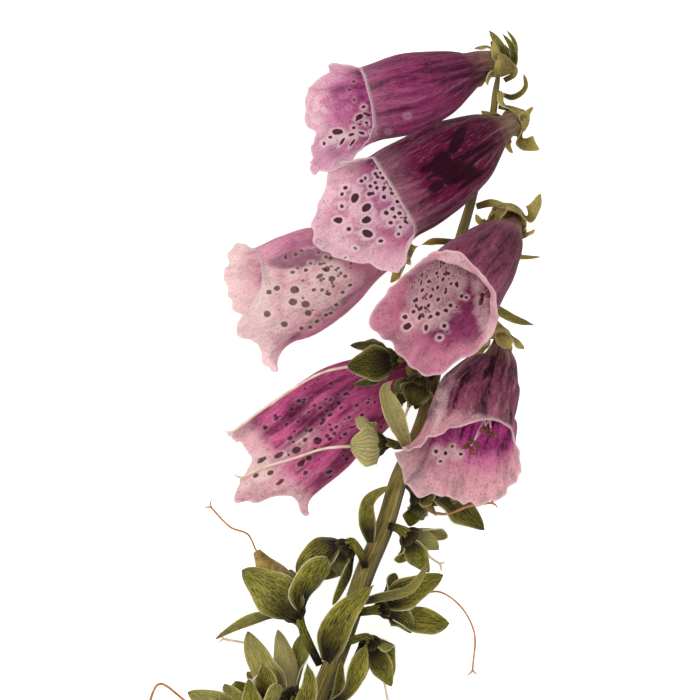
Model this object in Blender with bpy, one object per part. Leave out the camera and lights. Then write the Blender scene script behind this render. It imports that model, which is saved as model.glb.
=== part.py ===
"""Foxglove flower spike, cut and lying on its side.

A green stem slants across the ground. Six open bells hang from its upper half, and the flowers below
them have dropped their bells and kept a calyx of five sepals round a seed capsule with a long style.

Places are in millimetres in the spike's own plan: x to the right, y towards the tip, z up from the
surface that the spike lies on. The plan's middle is moved to the middle of the whole spike at the end.
"""
import math

import bmesh
import bpy
import numpy as np

MM = 0.001
PLAN_MIDDLE = (-1.8, -20.2)          # middle of the whole spike in the plan, millimetres

PETAL_WALL = 0.9                     # thickness of a bell's wall
SEPAL_WALL = 0.6
BELL_COLUMNS = 14                    # facets round a bell
STEM_GAP = 0.5                       # every stalk starts this far from the stem's skin
SEPALS = 5
LOWEST_TIP = 1.2                     # sepals with no place of their own stay above the ground
FILAMENTS = 4
TUBE_FLATNESS = 0.86                 # height of a bell's section over its width
FLAT_FROM = 6.0                      # half width from which a bell's section has its whole flatness
TUBE_ROWS = 8                        # rings of a bell from its foot to its throat
LIP_ROWS = 2

CUP_RADIUS = 3.2                     # cups under the open bells
CUP_DEPTH = 2.6
FRUIT_CUP_RADIUS = 2.8               # cups round the seed capsules
FRUIT_CUP_DEPTH = 2.2
CAPSULE_HALF_WIDTH = 1.65
CAPSULE_LENGTH = 6.5
STYLE_RADIUS = 0.36
BRACT_THICKNESS = 0.7

# Stem: centre line from the cut end to the tip, with the radius.
STEM = [
    (-18.7, -111.6, 2.8, 2.9), (-13.2, -96.9, 4.4, 2.75), (-7.3, -80.2, 6.4, 2.6), (-3.4, -70.2, 7.8, 2.4),
    (0.5, -58.8, 9.0, 2.3), (3.8, -49.2, 10.0, 2.3), (7.9, -39.7, 11.0, 2.15), (11.0, -29.3, 11.5, 2.05),
    (14.4, -21.6, 12.0, 1.85), (16.9, -14.8, 12.0, 1.75), (18.7, -6.7, 12.0, 1.65), (21.6, 9.0, 12.0, 1.45),
    (24.9, 24.7, 12.0, 1.25), (27.4, 33.6, 12.0, 1.05), (30.4, 44.8, 12.2, 0.9), (32.4, 53.7, 12.6, 0.8),
    (33.0, 59.0, 13.0, 0.7), (33.4, 61.6, 12.5, 0.5),
]

# Bells: stations from the foot to the throat as (x, y, z, half width), the way the upper lip faces, and
# the lip as (angle round the throat, length, turn outwards). Angle 90 is the upper lip, 270 the lower.
BELLS = {
    1: {
        "stations": [
            (35.5, 63.6, 16.0, 1.1), (33.5, 64.4, 16.4, 2.2), (29.6, 64.6, 17.2, 2.6),
            (26.4, 62.7, 18.0, 4.5),
            (22.8, 61.1, 19.0, 6.4), (16.5, 58.4, 20.5, 8.6), (10.7, 56.5, 21.6, 9.1),
            (5.1, 54.9, 21.6, 8.5),
        ],
        "upper_way": (0.1, 0.34, 0.94),
        "lip": [
            (0, 8.0, 46), (8, 5.0, 42), (18, 1.6, 32), (40, 0.7, 40), (90, 0.5, 40), (120, 0.8, 30),
            (150, 2.0, 20), (172, 4.4, 22), (186, 7.3, 30), (200, 14.0, 22), (212, 17.4, 18), (226, 17.2, 12),
            (245, 16.4, 10), (262, 15.2, 8), (274, 14.2, 8), (286, 15.7, 12), (305, 15.3, 20),
            (322, 14.1, 25), (335, 12.6, 26), (344, 8.6, 42), (352, 8.4, 54),
        ],
    },
    2: {
        "stations": [
            (38.9, 52.2, 15.5, 1.1), (37.5, 51.6, 16.5, 2.0), (34.0, 49.5, 18.5, 3.1),
            (29.9, 47.3, 21.0, 6.0),
            (25.1, 43.8, 23.0, 8.6), (21.1, 41.0, 24.2, 9.5), (13.7, 36.3, 25.0, 10.3),
            (10.4, 34.3, 25.0, 10.2),
        ],
        "upper_way": (0.1, 0.34, 0.94),
        "lip": [
            (0, 8.4, 32), (12, 5.0, 30), (24, 0.9, 30), (60, 0.5, 40), (120, 0.5, 40), (160, 0.8, 30),
            (176, 2.6, 50), (188, 7.0, 52), (200, 10.4, 48), (214, 11.8, 34), (230, 13.2, 18), (246, 16.4, 6),
            (262, 19.2, 2), (278, 20.7, 2), (290, 21.0, 4), (300, 20.2, 8), (315, 17.2, 18), (328, 13.8, 30),
            (338, 12.0, 40), (350, 10.6, 38),
        ],
    },
    3: {
        "stations": [
            (12.5, 22.7, 9.0, 1.1), (10.4, 22.3, 8.8, 2.5), (6.4, 21.4, 8.3, 4.5), (0.0, 19.8, 8.22, 8.6),
            (-6.6, 17.5, 8.22, 11.0), (-11.1, 15.4, 8.22, 11.8), (-16.8, 13.0, 8.22, 11.6),
        ],
        "upper_way": (0.0, 0.0, -1.0),
        "flatness": 0.7,
        "lip": [
            (0, 8.2, 60), (12, 9.8, 60), (22, 9.9, 56), (38, 9.4, 36), (58, 8.2, 8), (74, 9.0, 0),
            (90, 10.2, 0), (120, 10.1, 2), (138, 8.8, 10), (150, 7.4, 18), (163, 6.2, 40), (176, 5.0, 66),
            (188, 2.2, 60), (200, 0.6, 40), (240, 0.8, 20), (262, 3.0, 15), (278, 8.0, 8), (286, 11.0, 6),
            (292, 11.5, 6), (305, 10.0, 12), (322, 8.0, 16), (342, 7.4, 30),
        ],
    },
    4: {
        "stations": [
            (37.2, 29.8, 17.0, 1.1), (36.6, 28.2, 18.5, 2.0), (35.6, 26.6, 20.1, 3.1),
            (34.1, 24.7, 22.4, 5.0),
            (30.4, 20.6, 28.0, 7.6),
            (26.4, 16.2, 34.8, 9.2), (22.0, 11.2, 42.0, 10.3),
        ],
        "flatness": 0.95,
        "upper_way": (0.88, -0.34, 0.33),
        "lip": [
            (0, 7.0, 105), (20, 4.2, 100), (40, 2.2, 100), (60, 2.0, 110), (90, 3.0, 105), (120, 2.8, 80),
            (140, 4.0, 65), (152, 5.0, 60), (163, 7.6, 60), (180, 10.7, 60), (192, 10.6, 60),
            (205, 10.0, 60), (218, 10.2, 60), (230, 10.5, 62), (243, 12.4, 55), (252, 12.2, 50),
            (262, 8.8, 50), (272, 6.0, 50), (285, 3.2, 50), (300, 2.4, 55), (315, 2.4, 60), (335, 3.6, 80),
            (348, 5.2, 95),
        ],
    },
    5: {
        "stations": [
            (15.7, -3.6, 9.0, 1.1), (13.9, -4.5, 8.8, 2.5), (10.5, -6.1, 8.6, 5.0), (5.9, -8.9, 7.99, 8.2),
            (0.0, -12.5, 7.99, 10.0), (-5.5, -16.4, 7.99, 10.7), (-10.0, -20.5, 7.99, 11.0),
            (-14.5, -24.1, 7.99, 11.1),
        ],
        "upper_way": (0.0, 0.0, -1.0),
        "flatness": 0.72,
        "lip": [
            (0, 5.0, 50), (30, 3.2, 30), (60, 5.0, 10), (90, 6.0, 0), (120, 6.0, 0), (150, 6.5, 4),
            (168, 7.2, 6), (182, 7.2, 6), (205, 6.8, 10), (232, 5.9, 3), (248, 6.4, 0), (256, 8.6, 0),
            (264, 13.4, 0), (272, 14.4, 2), (281, 13.3, 5), (290, 11.4, 8), (298, 6.8, 12), (307, 4.9, 14),
            (318, 4.3, 14), (332, 4.7, 18), (341, 6.0, 60), (350, 5.6, 66),
        ],
    },
    6: {
        "stations": [
            (33.7, 2.7, 12.0, 1.1), (33.7, 0.5, 12.4, 2.3), (33.4, -2.5, 13.2, 4.5),
            (31.9, -5.6, 14.4, 7.0),
            (29.9, -9.4, 16.4, 8.7), (28.1, -12.8, 18.0, 9.6), (27.3, -16.4, 19.4, 10.2),
        ],
        "upper_way": (0.32, 0.28, 0.9),
        "lip": [
            (0, 10.3, 24), (15, 9.2, 16), (30, 7.6, 12), (45, 6.2, 12), (60, 4.8, 15), (80, 2.7, 20),
            (100, 1.2, 40), (120, 0.9, 50), (135, 1.4, 20), (148, 4.0, 28), (160, 6.6, 32), (172, 8.6, 30),
            (185, 10.4, 28), (200, 12.6, 20), (215, 14.4, 12), (230, 15.2, 5), (245, 15.8, 3), (256, 15.4, 2),
            (268, 14.6, 2), (280, 15.8, 5), (292, 16.4, 25), (305, 15.6, 36), (318, 13.6, 42),
            (330, 12.2, 46), (342, 11.6, 44), (352, 10.8, 36),
        ],
    },
}

# Calyxes of the open flowers: flower stalk from the stem to the cup, tips of the sepals that part from
# the bell, the length of the others and how far they lean out.
FLOWER_CALYXES = {
    1: {
        "stalk": [(34.8, 60.8, 13.2, 0.6), (37.0, 62.2, 13.6, 0.65), (37.0, 63.4, 15.0, 0.75)],
        "tips": [(28.0, 67.7, 15.5), (30.6, 59.3, 21.5), (27.8, 59.6, 14.0), (32.2, 69.4, 18.6),
                 (28.6, 65.4, 11.3)],
    },
    2: {
        "stalk": [(33.6, 55.0, 12.6, 0.6), (37.5, 54.2, 12.2, 0.7), (39.9, 53.0, 13.6, 0.8)],
        "tips": [(33.4, 57.9, 20.0), (40.9, 54.3, 20.5), (42.6, 45.0, 15.0), (29.4, 53.6, 16.6),
                 (36.8, 44.6, 10.6)],
    },
    3: {
        "stalk": [(23.2, 24.4, 11.2, 0.7), (18.8, 24.6, 9.6, 0.8), (14.2, 23.2, 9.1, 1.0)],
        "tips": [(13.5, 20.2, 16.5), (15.5, 28.0, 9.0)],
    },
    4: {
        "stalk": [(28.6, 32.4, 12.4, 0.7), (31.8, 33.2, 13.0, 0.9), (35.6, 32.0, 15.0, 1.1)],
        "aim": (34.6, 25.0, 22.0),
        "tips": [(42.8, 35.1, 16.0), (41.6, 27.0, 15.0), (28.2, 30.4, 17.4), (42.6, 20.8, 20.0),
                 (32.6, 24.0, 11.0)],
    },
    5: {
        "stalk": [(18.2, -1.0, 11.0, 0.7), (17.2, -2.6, 9.6, 0.9)],
        "tips": [],
        "length": 4.6,
        "lean": 60.0,
    },
    6: {
        "stalk": [(22.5, 9.4, 12.0, 0.8), (29.5, 9.2, 11.4, 1.0), (33.2, 5.6, 11.6, 1.2)],
        "tips": [(28.4, -0.2, 15.6), (39.2, 0.2, 12.5)],
    },
}

# Flowers past their bells: stalk to the cup, sepal tips with half width, and the style's route.
FRUITS = {
    1: {
        "stalk": [(18.6, -2.0, 13.4, 0.8), (14.6, -1.4, 17.0, 1.0), (10.9, -1.8, 19.6, 1.3)],
        "tips": [(-0.6, -3.6, 23.8, 4.4), (0.8, -7.8, 19.4, 1.8), (0.0, 1.0, 19.8, 1.6),
                 (2.5, 1.4, 15.8, 2.6),
                 (2.5, -6.0, 15.4, 2.6)],
        "style": [(-6.0, -5.0, 19.6), (-14.5, -9.8, 18.2), (-21.4, -14.6, 17.2), (-26.4, -18.4, 16.4)],
    },
    2: {
        "stalk": [(12.8, -21.6, 13.4, 0.8), (10.6, -21.4, 16.2, 1.0), (8.4, -20.8, 19.6, 1.3)],
        "tips": [(0.0, -21.0, 24.6, 4.4), (3.0, -25.8, 19.8, 1.8), (1.2, -14.9, 21.4, 1.8),
                 (3.0, -16.8, 16.2, 2.8),
                 (3.6, -24.4, 15.6, 2.8)],
        "style": [(-5.5, -22.0, 19.6), (-13.0, -24.4, 18.2), (-20.0, -26.6, 17.6), (-24.2, -28.6, 17.4)],
    },
    3: {
        "stalk": [(18.6, -6.0, 13.8, 0.8), (17.4, -5.0, 16.0, 0.9), (16.0, -5.6, 17.2, 1.1)],
        "tips": [(13.9, -12.4, 19.6, 3.0), (9.8, -9.4, 17.0, 2.2), (16.8, -11.4, 17.0, 1.2),
                 (11.0, -12.6, 14.8, 2.2),
                 (14.6, -13.4, 14.6, 2.2)],
        "style": [(12.6, -14.2, 16.2), (11.2, -17.8, 15.6)],
    },
    4: {
        "stalk": [(12.2, -29.8, 9.0, 0.8), (13.4, -30.8, 7.4, 1.0), (14.6, -32.0, 6.2, 1.3)],
        "aim": (20.0, -38.0, 4.6),
        "capsule_half_width": 1.1,
        "tips": [(30.9, -41.3, 0.7, 4.2), (13.6, -40.4, 3.0, 2.6), (18.6, -34.4, 10.2, 2.0),
                 (24.6, -34.6, 6.0, 2.0),
                 (17.0, -39.0, 0.6, 2.4)],
        "style": [(22.0, -37.4, 6.4), (27.0, -35.6, 7.0), (32.2, -34.8, 6.6)],
    },
    5: {
        "stalk": [(3.4, -49.0, 12.3, 0.8), (2.2, -45.6, 13.4, 1.0), (0.2, -43.6, 12.4, 1.3)],
        "tips": [(-12.3, -50.4, 8.6, 4.2), (-4.0, -58.0, 8.4, 1.5), (-6.6, -52.4, 4.4, 2.6),
                 (-9.4, -46.6, 4.4, 2.4),
                 (-1.6, -51.6, 6.0, 2.2)],
        "style": [(-7.4, -51.6, 8.0), (-10.0, -54.0, 6.4)],
    },
    6: {
        "stalk": [(8.6, -39.6, 12.9, 0.8), (10.6, -40.2, 12.8, 1.0), (12.2, -41.2, 11.4, 1.4)],
        "aim": (18.0, -46.8, 7.8),
        "tips": [(20.0, -45.4, 8.6, 2.4), (17.8, -50.4, 10.6, 2.6), (11.0, -48.4, 8.4, 2.2)],
        "style": [(18.6, -47.4, 7.6), (20.4, -48.6, 7.0)],
    },
    7: {
        "stalk": [(-7.0, -71.4, 8.6, 0.9), (-10.0, -65.0, 10.6, 1.1), (-11.4, -61.4, 11.6, 1.3)],
        "aim": (-21.6, -45.2, 8.0),
        "tips": [(-24.2, -49.4, 16.6, 5.0), (-5.0, -46.6, 17.4, 4.0), (-30.4, -65.2, 14.4, 1.4),
                 (-14.0, -50.6, 1.6, 2.6), (-22.0, -55.6, 1.8, 2.6)],
        "capsule_half_width": 3.2,
        "capsule_length": 13.5,
        "style": [(-21.4, -45.4, 8.2), (-23.0, -42.0, 9.6), (-27.0, -40.0, 12.6), (-31.4, -35.6, 12.0)],
    },
    8: {
        "stalk": [(1.4, -59.6, 10.6, 0.8), (3.6, -59.0, 12.0, 1.0), (6.0, -58.7, 11.4, 1.3)],
        "tips": [(21.2, -51.2, 8.6, 3.4), (22.8, -62.8, 1.2, 4.0), (10.4, -50.8, 8.0, 2.2),
                 (14.0, -64.6, 4.6, 2.6),
                 (15.0, -55.0, 2.6, 2.6)],
        "style": [(20.4, -55.2, 5.6), (25.4, -58.8, 3.6), (28.4, -64.4, 2.0), (28.2, -73.6, 0.36)],
    },
    9: {
        "stalk": [(-2.2, -67.4, 9.8, 0.8), (0.6, -65.6, 11.6, 0.9), (3.8, -65.2, 10.8, 1.2)],
        "tips": [(9.4, -67.4, 12.4, 2.2), (8.8, -76.6, 2.0, 3.8), (2.6, -75.6, 8.6, 2.2)],
        "style": [(7.4, -74.4, 5.0), (8.6, -80.0, 3.0), (9.8, -86.0, 1.6)],
    },
    10: {
        "stalk": [(-12.4, -88.4, 7.6, 0.9), (-13.4, -84.0, 10.6, 1.0), (-13.0, -79.2, 11.6, 1.3)],
        "tips": [(-23.2, -64.0, 8.0, 3.7), (-10.6, -64.8, 4.2, 3.0), (-16.6, -64.0, 2.6, 2.6),
                 (-23.4, -73.6, 4.0, 2.6)],
        "style": [(-18.0, -71.2, 7.4), (-22.5, -67.6, 4.0), (-28.8, -66.0, 5.0)],
    },
    11: {
        "stalk": [(-17.0, -96.6, 4.8, 0.9), (-20.0, -92.0, 6.6, 1.1), (-24.2, -87.6, 6.4, 1.3)],
        "tips": [(-37.0, -78.0, 6.4, 4.0), (-26.0, -75.8, 3.4, 3.0), (-36.0, -88.6, 4.0, 3.0),
                 (-30.0, -79.0, 10.4, 2.6)],
        "style": [(-37.2, -80.6, 4.0), (-43.6, -76.4, 4.0), (-46.6, -82.4, 1.6)],
    },
    12: {
        "stalk": [(-16.2, -91.0, 8.0, 0.9), (-19.0, -86.4, 12.0, 1.1), (-20.4, -83.0, 14.4, 1.3)],
        "tips": [(-19.6, -70.4, 17.6, 3.2), (-26.0, -74.6, 14.4, 2.6), (-22.6, -73.4, 20.8, 2.4)],
        "capsule_length": 4.0,
        "style": [(-21.2, -77.4, 17.0), (-21.8, -74.4, 17.4)],
    },
}

# Bracts: centre line with the half width, and the way the flat side faces.
BRACTS = {
    "bract_1": ([(34.2, 57.8, 12.8, 0.4), (36.6, 57.2, 11.4, 0.7), (39.6, 59.6, 11.6, 0.6),
                 (39.3, 62.5, 11.8, 0.3)],
                (0.5, -0.3, 1.0)),
    "bract_2": ([(23.4, 6.0, 10.6, 0.6), (31.0, 9.8, 7.8, 1.1), (37.9, 6.8, 8.4, 0.9),
                 (42.0, 5.6, 8.8, 0.3)],
                (0.0, 0.0, 1.0)),
    "bract_3": ([(13.6, -25.4, 14.2, 0.8), (12.3, -20.4, 21.7, 1.3), (9.4, -13.2, 23.0, 2.2),
                 (7.9, -8.7, 23.4, 1.2),
                 (9.6, -6.6, 26.0, 0.35)],
                (0.0, 0.0, 1.0)),
    "bract_4": ([(4.7, -43.4, 13.6, 0.9), (4.1, -39.0, 15.2, 2.0), (4.4, -34.0, 16.0, 1.5),
                 (9.0, -30.3, 16.6, 0.35)],
                (-0.3, 0.0, 1.0)),
    "bract_5": ([(-5.2, -70.4, 11.4, 1.2), (-3.6, -64.5, 17.0, 3.6), (-0.6, -58.6, 19.4, 3.0),
                 (5.4, -52.4, 20.0, 0.4)],
                (-0.3, 0.0, 1.0)),
    "bract_6": ([(-5.4, -86.0, 7.2, 1.0), (-3.4, -80.4, 8.2, 1.7),
                 (-1.9, -69.8, 11.4, 0.4)], (0.3, 0.0, 1.0)),
    "bract_7": ([(-9.6, -86.4, 10.4, 1.0), (-10.0, -80.5, 16.2, 2.4), (-8.8, -74.6, 18.2, 1.8),
                 (-9.6, -70.0, 19.0, 0.4)], (-0.3, 0.0, 1.0)),
    "bract_8": ([(3.2, -56.8, 13.0, 0.7), (6.0, -55.6, 17.4, 1.0), (13.6, -53.4, 17.6, 1.1),
                 (17.8, -47.6, 15.6, 0.3)],
                (0.0, 0.0, 1.0)),
    "bract_9": ([(-5.0, -80.6, 12.0, 0.8), (-0.4, -76.6, 15.4, 1.4), (1.6, -71.0, 16.6, 2.2),
                 (3.8, -65.8, 16.8, 0.35)],
                (0.3, 0.0, 1.0)),
}

# Bud cluster at the spike's tip: the foot that the closed buds share, and their tips.
BUD_FOOT = (34.4, 62.5, 10.2)
BUD_TIPS = [(34.5, 71.2, 12.6), (31.0, 72.2, 12.2), (33.4, 71.4, 9.2)]


def clear_scene():
    for thing in list(bpy.data.objects):
        bpy.data.objects.remove(thing)


def principled(name, colour, roughness):
    material = bpy.data.materials.new(name)
    material.use_nodes = True
    shader = material.node_tree.nodes["Principled BSDF"]
    shader.inputs["Base Color"].default_value = (*colour, 1.0)
    shader.inputs["Roughness"].default_value = roughness
    shader.inputs["Metallic"].default_value = 0.0
    return material


def unit(vector):
    return np.asarray(vector, float) / np.linalg.norm(vector)


def through(points, count):
    """Points on the smooth curve through the given ones: cubic pieces whose slopes at each point are
    the mean slopes of its two sides, spaced evenly by length of the straight runs between points."""
    points = np.asarray(points, float)
    steps = np.linalg.norm(np.diff(points[:, :3], axis=0), axis=1)
    knots = np.concatenate([[0.0], np.cumsum(steps)])
    slopes = np.gradient(points, knots, axis=0)
    at = np.linspace(0.0, knots[-1], count)
    piece = np.clip(np.searchsorted(knots, at, side="right") - 1, 0, len(steps) - 1)
    width = steps[piece]
    part = ((at - knots[piece]) / width)[:, None]
    width = width[:, None]
    from_here = points[piece] * (2 * part**3 - 3 * part**2 + 1)
    to_next = points[piece + 1] * (3 * part**2 - 2 * part**3)
    leaving = slopes[piece] * width * (part**3 - 2 * part**2 + part)
    arriving = slopes[piece + 1] * width * (part**3 - part**2)
    return from_here + to_next + leaving + arriving


def frames_along(centres, hint):
    """Forward, side and up unit vectors at each centre, with up as near as can be to the hint."""
    forward = np.gradient(centres, axis=0)
    forward /= np.linalg.norm(forward, axis=1)[:, None]
    side = np.cross(forward, unit(hint))
    side /= np.linalg.norm(side, axis=1)[:, None]
    return forward, side, np.cross(side, forward)


def carried_frames(centres):
    """Frames carried along a bending line without twist: each side vector is the last one, squared to
    the new direction."""
    forward = np.gradient(centres, axis=0)
    forward /= np.linalg.norm(forward, axis=1)[:, None]
    side = [unit(np.cross(forward[0], (0.31, 0.17, 0.94)))]
    for direction in forward[1:]:
        carried = side[-1] - direction * np.dot(side[-1], direction)
        side.append(unit(carried))
    side = np.array(side)
    return forward, side, np.cross(side, forward)


def ring(centre, side, up, half_width, half_height, columns):
    angle = np.linspace(0.0, 2 * math.pi, columns, endpoint=False)[:, None]
    return centre + side * half_width * np.cos(angle) + up * half_height * np.sin(angle)


class Solid:
    """Gathers rings and faces in one mesh and turns them into an object."""

    def __init__(self):
        self.mesh = bmesh.new()

    def points(self, rows):
        return [self.mesh.verts.new([(p[0] - PLAN_MIDDLE[0]) * MM, (p[1] - PLAN_MIDDLE[1]) * MM, p[2] * MM])
                for p in rows]

    def face(self, *corners):
        kept = [corner for index, corner in enumerate(corners) if corner not in corners[:index]]
        if len(kept) > 2:
            self.mesh.faces.new(kept)

    def band(self, low, high, closed=True):
        count = len(low)
        for index in range(count if closed else count - 1):
            after = (index + 1) % count
            self.face(low[index], low[after], high[after], high[index])

    def cap(self, loop, centre):
        pole = self.points([centre])[0]
        for index in range(len(loop)):
            self.face(loop[index], loop[(index + 1) % len(loop)], pole)

    def finish(self, name, material):
        bmesh.ops.triangulate(self.mesh, faces=self.mesh.faces)
        bmesh.ops.recalc_face_normals(self.mesh, faces=self.mesh.faces)
        if self.mesh.calc_volume(signed=True) < 0:
            bmesh.ops.reverse_faces(self.mesh, faces=self.mesh.faces)
        mesh = bpy.data.meshes.new(name)
        self.mesh.to_mesh(mesh)
        self.mesh.free()
        mesh.materials.append(material)
        mesh.shade_smooth()
        piece = bpy.data.objects.new(name, mesh)
        bpy.context.collection.objects.link(piece)
        return piece


def rod(name, stations, rows, columns, material, flat=None):
    """A closed rod along a smooth line, round, or flat with the given thickness and facing way."""
    line = through(stations, rows)
    centres = line[:, :3]
    half_widths = line[:, 3]
    if flat:
        thickness, way = flat
        _, side, up = frames_along(centres, way)
        half_heights = np.full(rows, thickness / 2)
    else:
        _, side, up = carried_frames(centres)
        half_heights = half_widths
    solid = Solid()
    loops = []
    for row in range(rows):
        section = ring(centres[row], side[row], up[row], half_widths[row], half_heights[row], columns)
        loops.append(solid.points(section))
    for low, high in zip(loops, loops[1:]):
        solid.band(low, high)
    solid.cap(loops[0], centres[0])
    solid.cap(loops[-1], centres[-1])
    return solid.finish(name, material)


def around(table, angles):
    """Length and turn of the lip at each angle, in straight runs between the table's entries."""
    table = np.asarray(table, float)
    wrapped = np.vstack([table, table[:1] + (360.0, 0.0, 0.0)])
    return [np.interp(angles, wrapped[:, 0], wrapped[:, column]) for column in (1, 2)]


def bell_skins(spec, tube_rows, lip_rows):
    """Outer and inner skin of a bell as grids of points, rows from the foot to the rim.

    The tube's sections are flattened rings square to its axis. The lip leaves the throat straight
    ahead and turns outwards along an arc: with length l and turn a, the point at share q is
    l sin(aq)/a further on and l (1 - cos(aq))/a further out."""
    line = through(spec["stations"], tube_rows)
    centres = line[:, :3]
    forward, side, up = frames_along(centres, spec["upper_way"])
    degrees = np.arange(BELL_COLUMNS) * 360.0 / BELL_COLUMNS
    angle = np.radians(degrees)[:, None]
    flatness = spec.get("flatness", TUBE_FLATNESS)
    outer = []
    inner = []
    for row in range(tube_rows):
        width = line[row, 3]
        height = width * (1 + (flatness - 1) * min(1.0, width / FLAT_FROM))
        outer.append(ring(centres[row], side[row], up[row], width, height, BELL_COLUMNS))
        wall = min(PETAL_WALL, width * 0.5)
        inner.append(ring(centres[row], side[row], up[row], width - wall, height - wall, BELL_COLUMNS))
    outward = side[-1] * np.cos(angle) + up[-1] * np.sin(angle)
    length, turn = around(spec["lip"], degrees)
    turn = np.radians(np.maximum(turn, 2.0))[:, None]
    length = length[:, None]
    for row in range(1, lip_rows + 1):
        share = row / lip_rows
        ahead = length * np.sin(turn * share) / turn
        out = length * (1 - np.cos(turn * share)) / turn
        skin = outer[tube_rows - 1] + forward[-1] * ahead + outward * out
        wall_way = outward * np.cos(turn * share) - forward[-1] * np.sin(turn * share)
        outer.append(skin)
        inner.append(skin - wall_way * PETAL_WALL)
    return outer, inner, centres


def corolla(number, spec, material):
    outer, inner, centres = bell_skins(spec, TUBE_ROWS, LIP_ROWS)
    solid = Solid()
    outer_loops = [solid.points(row) for row in outer]
    inner_loops = [solid.points(row) for row in inner[1:]]
    for loops in (outer_loops, inner_loops):
        for low, high in zip(loops, loops[1:]):
            solid.band(low, high)
    solid.band(outer_loops[-1], inner_loops[-1])
    solid.cap(outer_loops[0], centres[0])
    solid.cap(inner_loops[0], centres[1])
    return solid.finish(f"corolla_{number}", material)


def clear_of_stem(station):
    """The station moved straight out from the stem's centre line until it just clears the stem."""
    point = np.array(station[:3])
    line = through(STEM, 200)
    nearest = line[np.argmin(np.linalg.norm(line[:, :3] - point, axis=1))]
    out = unit(point - nearest[:3])
    moved = nearest[:3] + out * (nearest[3] + station[3] * 0.8 + STEM_GAP)
    return (*moved, station[3])


def lobe_tips(spec, centre, forward, side, up, count):
    """One tip for each lobe in order round the cup: a stated tip goes to the sector nearest its own
    angle, and the other sectors get tips of the usual length and lean."""
    stated = [np.asarray(tip[:3], float) for tip in spec["tips"]]
    stated_widths = [tip[3] if len(tip) > 3 else spec["half_width"] for tip in spec["tips"]]
    sector = 2 * math.pi / count
    angles = [math.atan2(np.dot(tip - centre, up), np.dot(tip - centre, side)) for tip in stated]
    phases = np.array([angle % sector for angle in angles]) / sector * 2 * math.pi
    start = math.atan2(np.sin(phases).sum(), np.cos(phases).sum()) / (2 * math.pi) * sector if stated else 0.0
    tips = [None] * count
    half_widths = [spec["half_width"]] * count
    for angle, tip, half_width in zip(angles, stated, stated_widths):
        index = round((angle - start) / sector) % count
        while tips[index] is not None:
            index = (index + 1) % count
        tips[index] = tip
        half_widths[index] = half_width
    lean = math.radians(spec.get("lean", 30.0))
    length = spec.get("length", 10.0)
    for index in range(count):
        if tips[index] is None:
            angle = start + index * sector
            out = side * math.cos(angle) + up * math.sin(angle)
            tips[index] = centre + (forward * math.cos(lean) + out * math.sin(lean)) * length
            tips[index][2] = max(tips[index][2], LOWEST_TIP)
    return start, tips, half_widths


def lobed_cup(name, stations, spec, count, wall, lobe_rows, shape, material, inner_floor):
    """A stalk that opens into a cup whose rim runs out into lobes, in one closed skin.

    Each lobe leaves the rim along the cup's wall and bends to its tip on a quadratic curve."""
    centres = np.asarray(stations, float)[:, :3]
    radii = np.asarray(stations, float)[:, 3]
    forward, side, up = carried_frames(centres)
    start, tips, half_widths = lobe_tips(spec, centres[-1], forward[-1], side[-1], up[-1], count)
    columns = 2 * count
    angles = start - math.pi / count + np.arange(columns) * 2 * math.pi / columns
    cosines = np.cos(angles)[:, None]
    sines = np.sin(angles)[:, None]
    rounds = [cosines * side[row] + sines * up[row] for row in range(len(radii))]
    solid = Solid()
    outer = [solid.points(centres[row] + rounds[row] * radii[row]) for row in range(len(radii))]
    inner_rim = centres[-1] + rounds[-1] * (radii[-1] - wall)
    floor_centre = centres[-1] - forward[-1] * inner_floor
    inner_foot = floor_centre + rounds[-1] * (radii[-1] - wall) * 0.6
    inner = [solid.points(inner_rim), solid.points(inner_foot)]
    for low, high in zip(outer, outer[1:]):
        solid.band(low, high)
    solid.band(inner[0], inner[1])
    solid.cap(outer[0], centres[0])
    solid.cap(inner[1], floor_centre)
    for index in range(count):
        edge = [(2 * index + step) % columns for step in range(3)]
        rim = centres[-1] + rounds[-1][edge] * radii[-1]
        out = rounds[-1][edge[1]]
        root = rim[1]
        reach = np.linalg.norm(tips[index] - root)
        bend = root + (forward[-1] * 0.75 + out * spec.get("bulge", 0.5)) * reach * 0.45
        before = rim[2] - rim[0]
        handed = math.copysign(1.0, np.dot(np.cross(before, forward[-1]), out))
        last_outer = [outer[-1][column] for column in edge]
        last_inner = [inner[0][column] for column in edge]
        for row in range(1, lobe_rows + 1):
            share = row / lobe_rows
            middle = root * (1 - share)**2 + bend * 2 * share * (1 - share) + tips[index] * share**2
            way = unit((bend - root) * (1 - share) + (tips[index] - bend) * share)
            laid = min(1.0, share * 1.6) * spec.get("laid", 0.0)
            faced = out * (1 - laid) + np.array((0.0, 0.0, 1.0 if out[2] > -0.1 else -1.0)) * laid
            across = np.cross(way, faced)
            across = unit(across if np.linalg.norm(across) > 1e-6 else np.cross(way, up[-1]))
            if np.dot(across, before) < 0:
                across = -across
            before = across
            face_way = unit(np.cross(across, way)) * handed
            half_width = shape(share) * half_widths[index]
            cupping = face_way * half_width * 0.25
            left = middle - across * half_width - cupping
            right = middle + across * half_width - cupping
            outer_line = [left, middle, right]
            outer_row = solid.points(outer_line)
            inner_row = solid.points([point - face_way * wall for point in outer_line])
            solid.band(last_outer, outer_row, closed=False)
            solid.band(last_inner, inner_row, closed=False)
            for end in (0, 2):
                solid.face(last_outer[end], outer_row[end], inner_row[end], last_inner[end])
            last_outer = outer_row
            last_inner = inner_row
        solid.band(last_outer, last_inner, closed=False)
    return solid.finish(name, material)


def sepal_shape(share):
    """Half width of a sepal over its greatest half width: egg-shaped, widest before the middle."""
    return max(0.09, 1.3 * (1 - share)**0.7 * (0.55 + 0.9 * share))


def filament_shape(share):
    """Half width of a stamen: a narrow filament that ends in a wider anther."""
    return 1.0 if share > 0.7 else 0.36


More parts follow.
